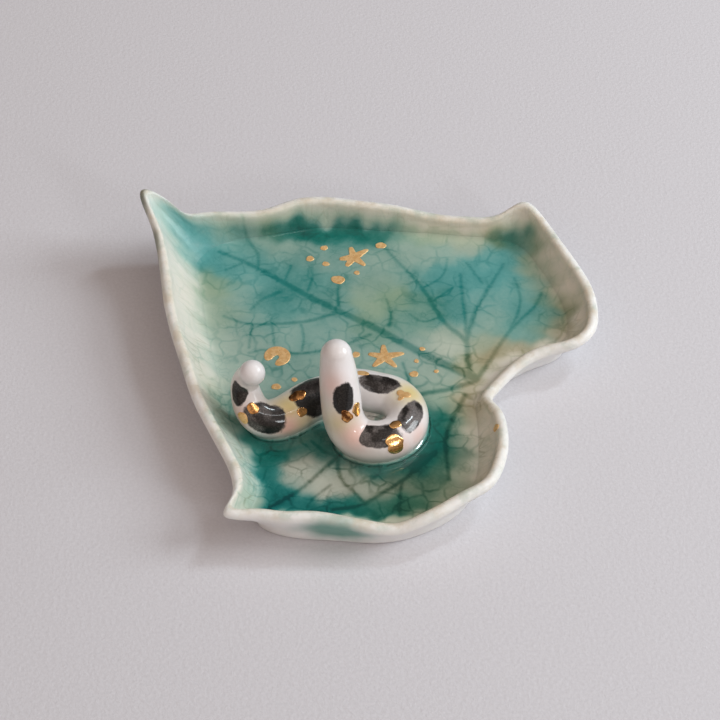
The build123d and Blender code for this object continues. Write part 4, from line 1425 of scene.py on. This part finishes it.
def build_gold(gold):
    fleck("star_far", outline_of(star_reach(FAR_ARMS)), lay_on_pool(FAR_STAR), gold, "gold_star_far")
    fleck("star_near", outline_of(star_reach(NEAR_ARMS)), lay_on_pool(NEAR_STAR), gold, "gold_star_near")
    fleck("crescent", moon_outline(), lay_moon(MOON_PLACE), gold, "gold_moon")
    for number in range(1, DOT_COUNT + 1):
        node = f"gold_dot_{number:02d}"
        middle, size = node_box(node)
        reach = oval_reach(size[0] / 2, size[1] / 2, 0.06, number)
        fleck(f"dot_{number:02d}", outline_of(reach), lay_on_pool(middle), gold, node)
    for number, (half_length, half_width, wobble, tone) in enumerate(COIL_GOLD, start=1):
        node = f"gold_patch_{number:02d}"
        at, angle = nearest_on_coil(node_box(node)[0])
        reach = oval_reach(half_length, half_width, wobble, number)
        if number == BUTTERFLY:
            reach = butterfly_reach()
        fleck(f"patch_{number:02d}", outline_of(reach), lay_on_coil(at, angle), gold, node, tone)
    middle, _ = node_box("gold_rim_dab")
    off = np.linalg.norm(wall - middle, axis=2)
    row, column = np.unravel_index(np.argmin(off), off.shape)
    dab = outline_of(oval_reach(1.0, 1.3, 0.08, 3))
    fleck("rim_dab", dab, lay_on_wall(column, row), gold, "gold_rim_dab")


def build_dish():
    glaze = build_glaze_group()
    grid = dish_grid()
    row_lengths = lengths_along(np.linalg.norm(np.diff(grid, axis=0), axis=2).mean(axis=1))
    dish = shell("dish_body", grid, build_porcelain(glaze), dish_values(grid), RIM_KNOTS[-1], row_lengths)
    put_on_root(dish, "leaf_dish", slot="porcelain")
    grid = pool_grid()
    pool = shell("pooled_glaze", grid, build_pool_glaze(glaze), pool_values(grid))
    put_on_root(pool, "glaze_pool", slot="pool_glaze")


def build_coil():
    grid = coil_grid()
    coil = shell("rolled_coil", grid, build_coil_porcelain(), coil_values(grid))
    put_on_root(coil, "ring_coil", slot="coil_porcelain")


# The stage

def build_stage():
    mesh = bpy.data.meshes.new("paper")
    mesh.from_pydata([(-1.5, -1.2, 0), (1.5, -1.2, 0), (1.5, 2.4, 0), (-1.5, 2.4, 0)], [], [(0, 1, 2, 3)])
    mesh.materials.append(build_paper())
    paper = add_object("paper", mesh)


def build_room():
    """The room's own light: warm, dim at the back and near the horizon, and paler overhead and in front."""
    world = bpy.data.worlds.new("room")
    world.use_nodes = True
    tree = world.node_tree
    way = add_node(tree, "TexCoord", {}).outputs["Generated"]
    bright_way = add_node(tree, "VectorMath", {0: way, 1: (-0.1, -0.5, 0.87)}, operation="DOT_PRODUCT")
    shade = blend(tree, within(tree, bright_way.outputs["Value"], 0.15, 0.85), (0.07, 0.06, 0.055, 1),
                  (0.60, 0.49, 0.43, 1))
    tree.links.new(shade, tree.nodes["Background"].inputs["Color"])
    bpy.context.scene.world = world


def add_lamp(name, way, distance, size, energy, colour, long_way=None):
    """A soft rectangular lamp that stands off in this direction and faces the dish. Its long side is level,
    or runs in the long way."""
    lamp = bpy.data.lights.new(name, "AREA")
    lamp.shape = "RECTANGLE"
    lamp.size, lamp.size_y = size
    lamp.energy = energy
    lamp.color = colour
    holder = add_object(name, lamp)
    way = Vector(way).normalized()
    holder.location = way * distance
    side = Vector(long_way or (-way.y, way.x, 0))
    side = (side - way * side.dot(way)).normalized()
    holder.rotation_euler = Matrix((side, way.cross(side), way)).transposed().to_euler()


def build_light():
    build_room()
    add_lamp("window", (0.50, 0.35, 0.80), 1.4, (0.12, 0.30), 3.4, (0.84, 0.94, 1.0))
    add_lamp("right_light", (0.88, 0.05, 0.55), 1.2, (0.5, 0.5), 7.8, (0.90, 0.97, 1.0))
    add_lamp("strip_light", (0.55, -0.22, 0.80), 1.3, (1.3, 0.07), 2.4, (0.94, 0.98, 1.0),
             (-0.59, -0.61, 0.28))
    add_lamp("front_light", (0.57, -0.69, 0.42), 1.3, (0.16, 0.22), 1.7, (0.94, 0.97, 1.0))


def build_camera():
    camera = bpy.data.cameras.new("camera")
    camera.lens = 100
    camera.sensor_width = 36
    holder = add_object("camera", camera)
    holder.location = (-0.0015, -0.32757, 0.37157)
    holder.rotation_euler = (radians(42), 0, 0)
    bpy.context.scene.camera = holder


build_stage()
build_light()
build_camera()
build_dish()
build_coil()
build_gold(build_gold_lustre())
bpy.context.scene.view_settings.view_transform = "Standard"
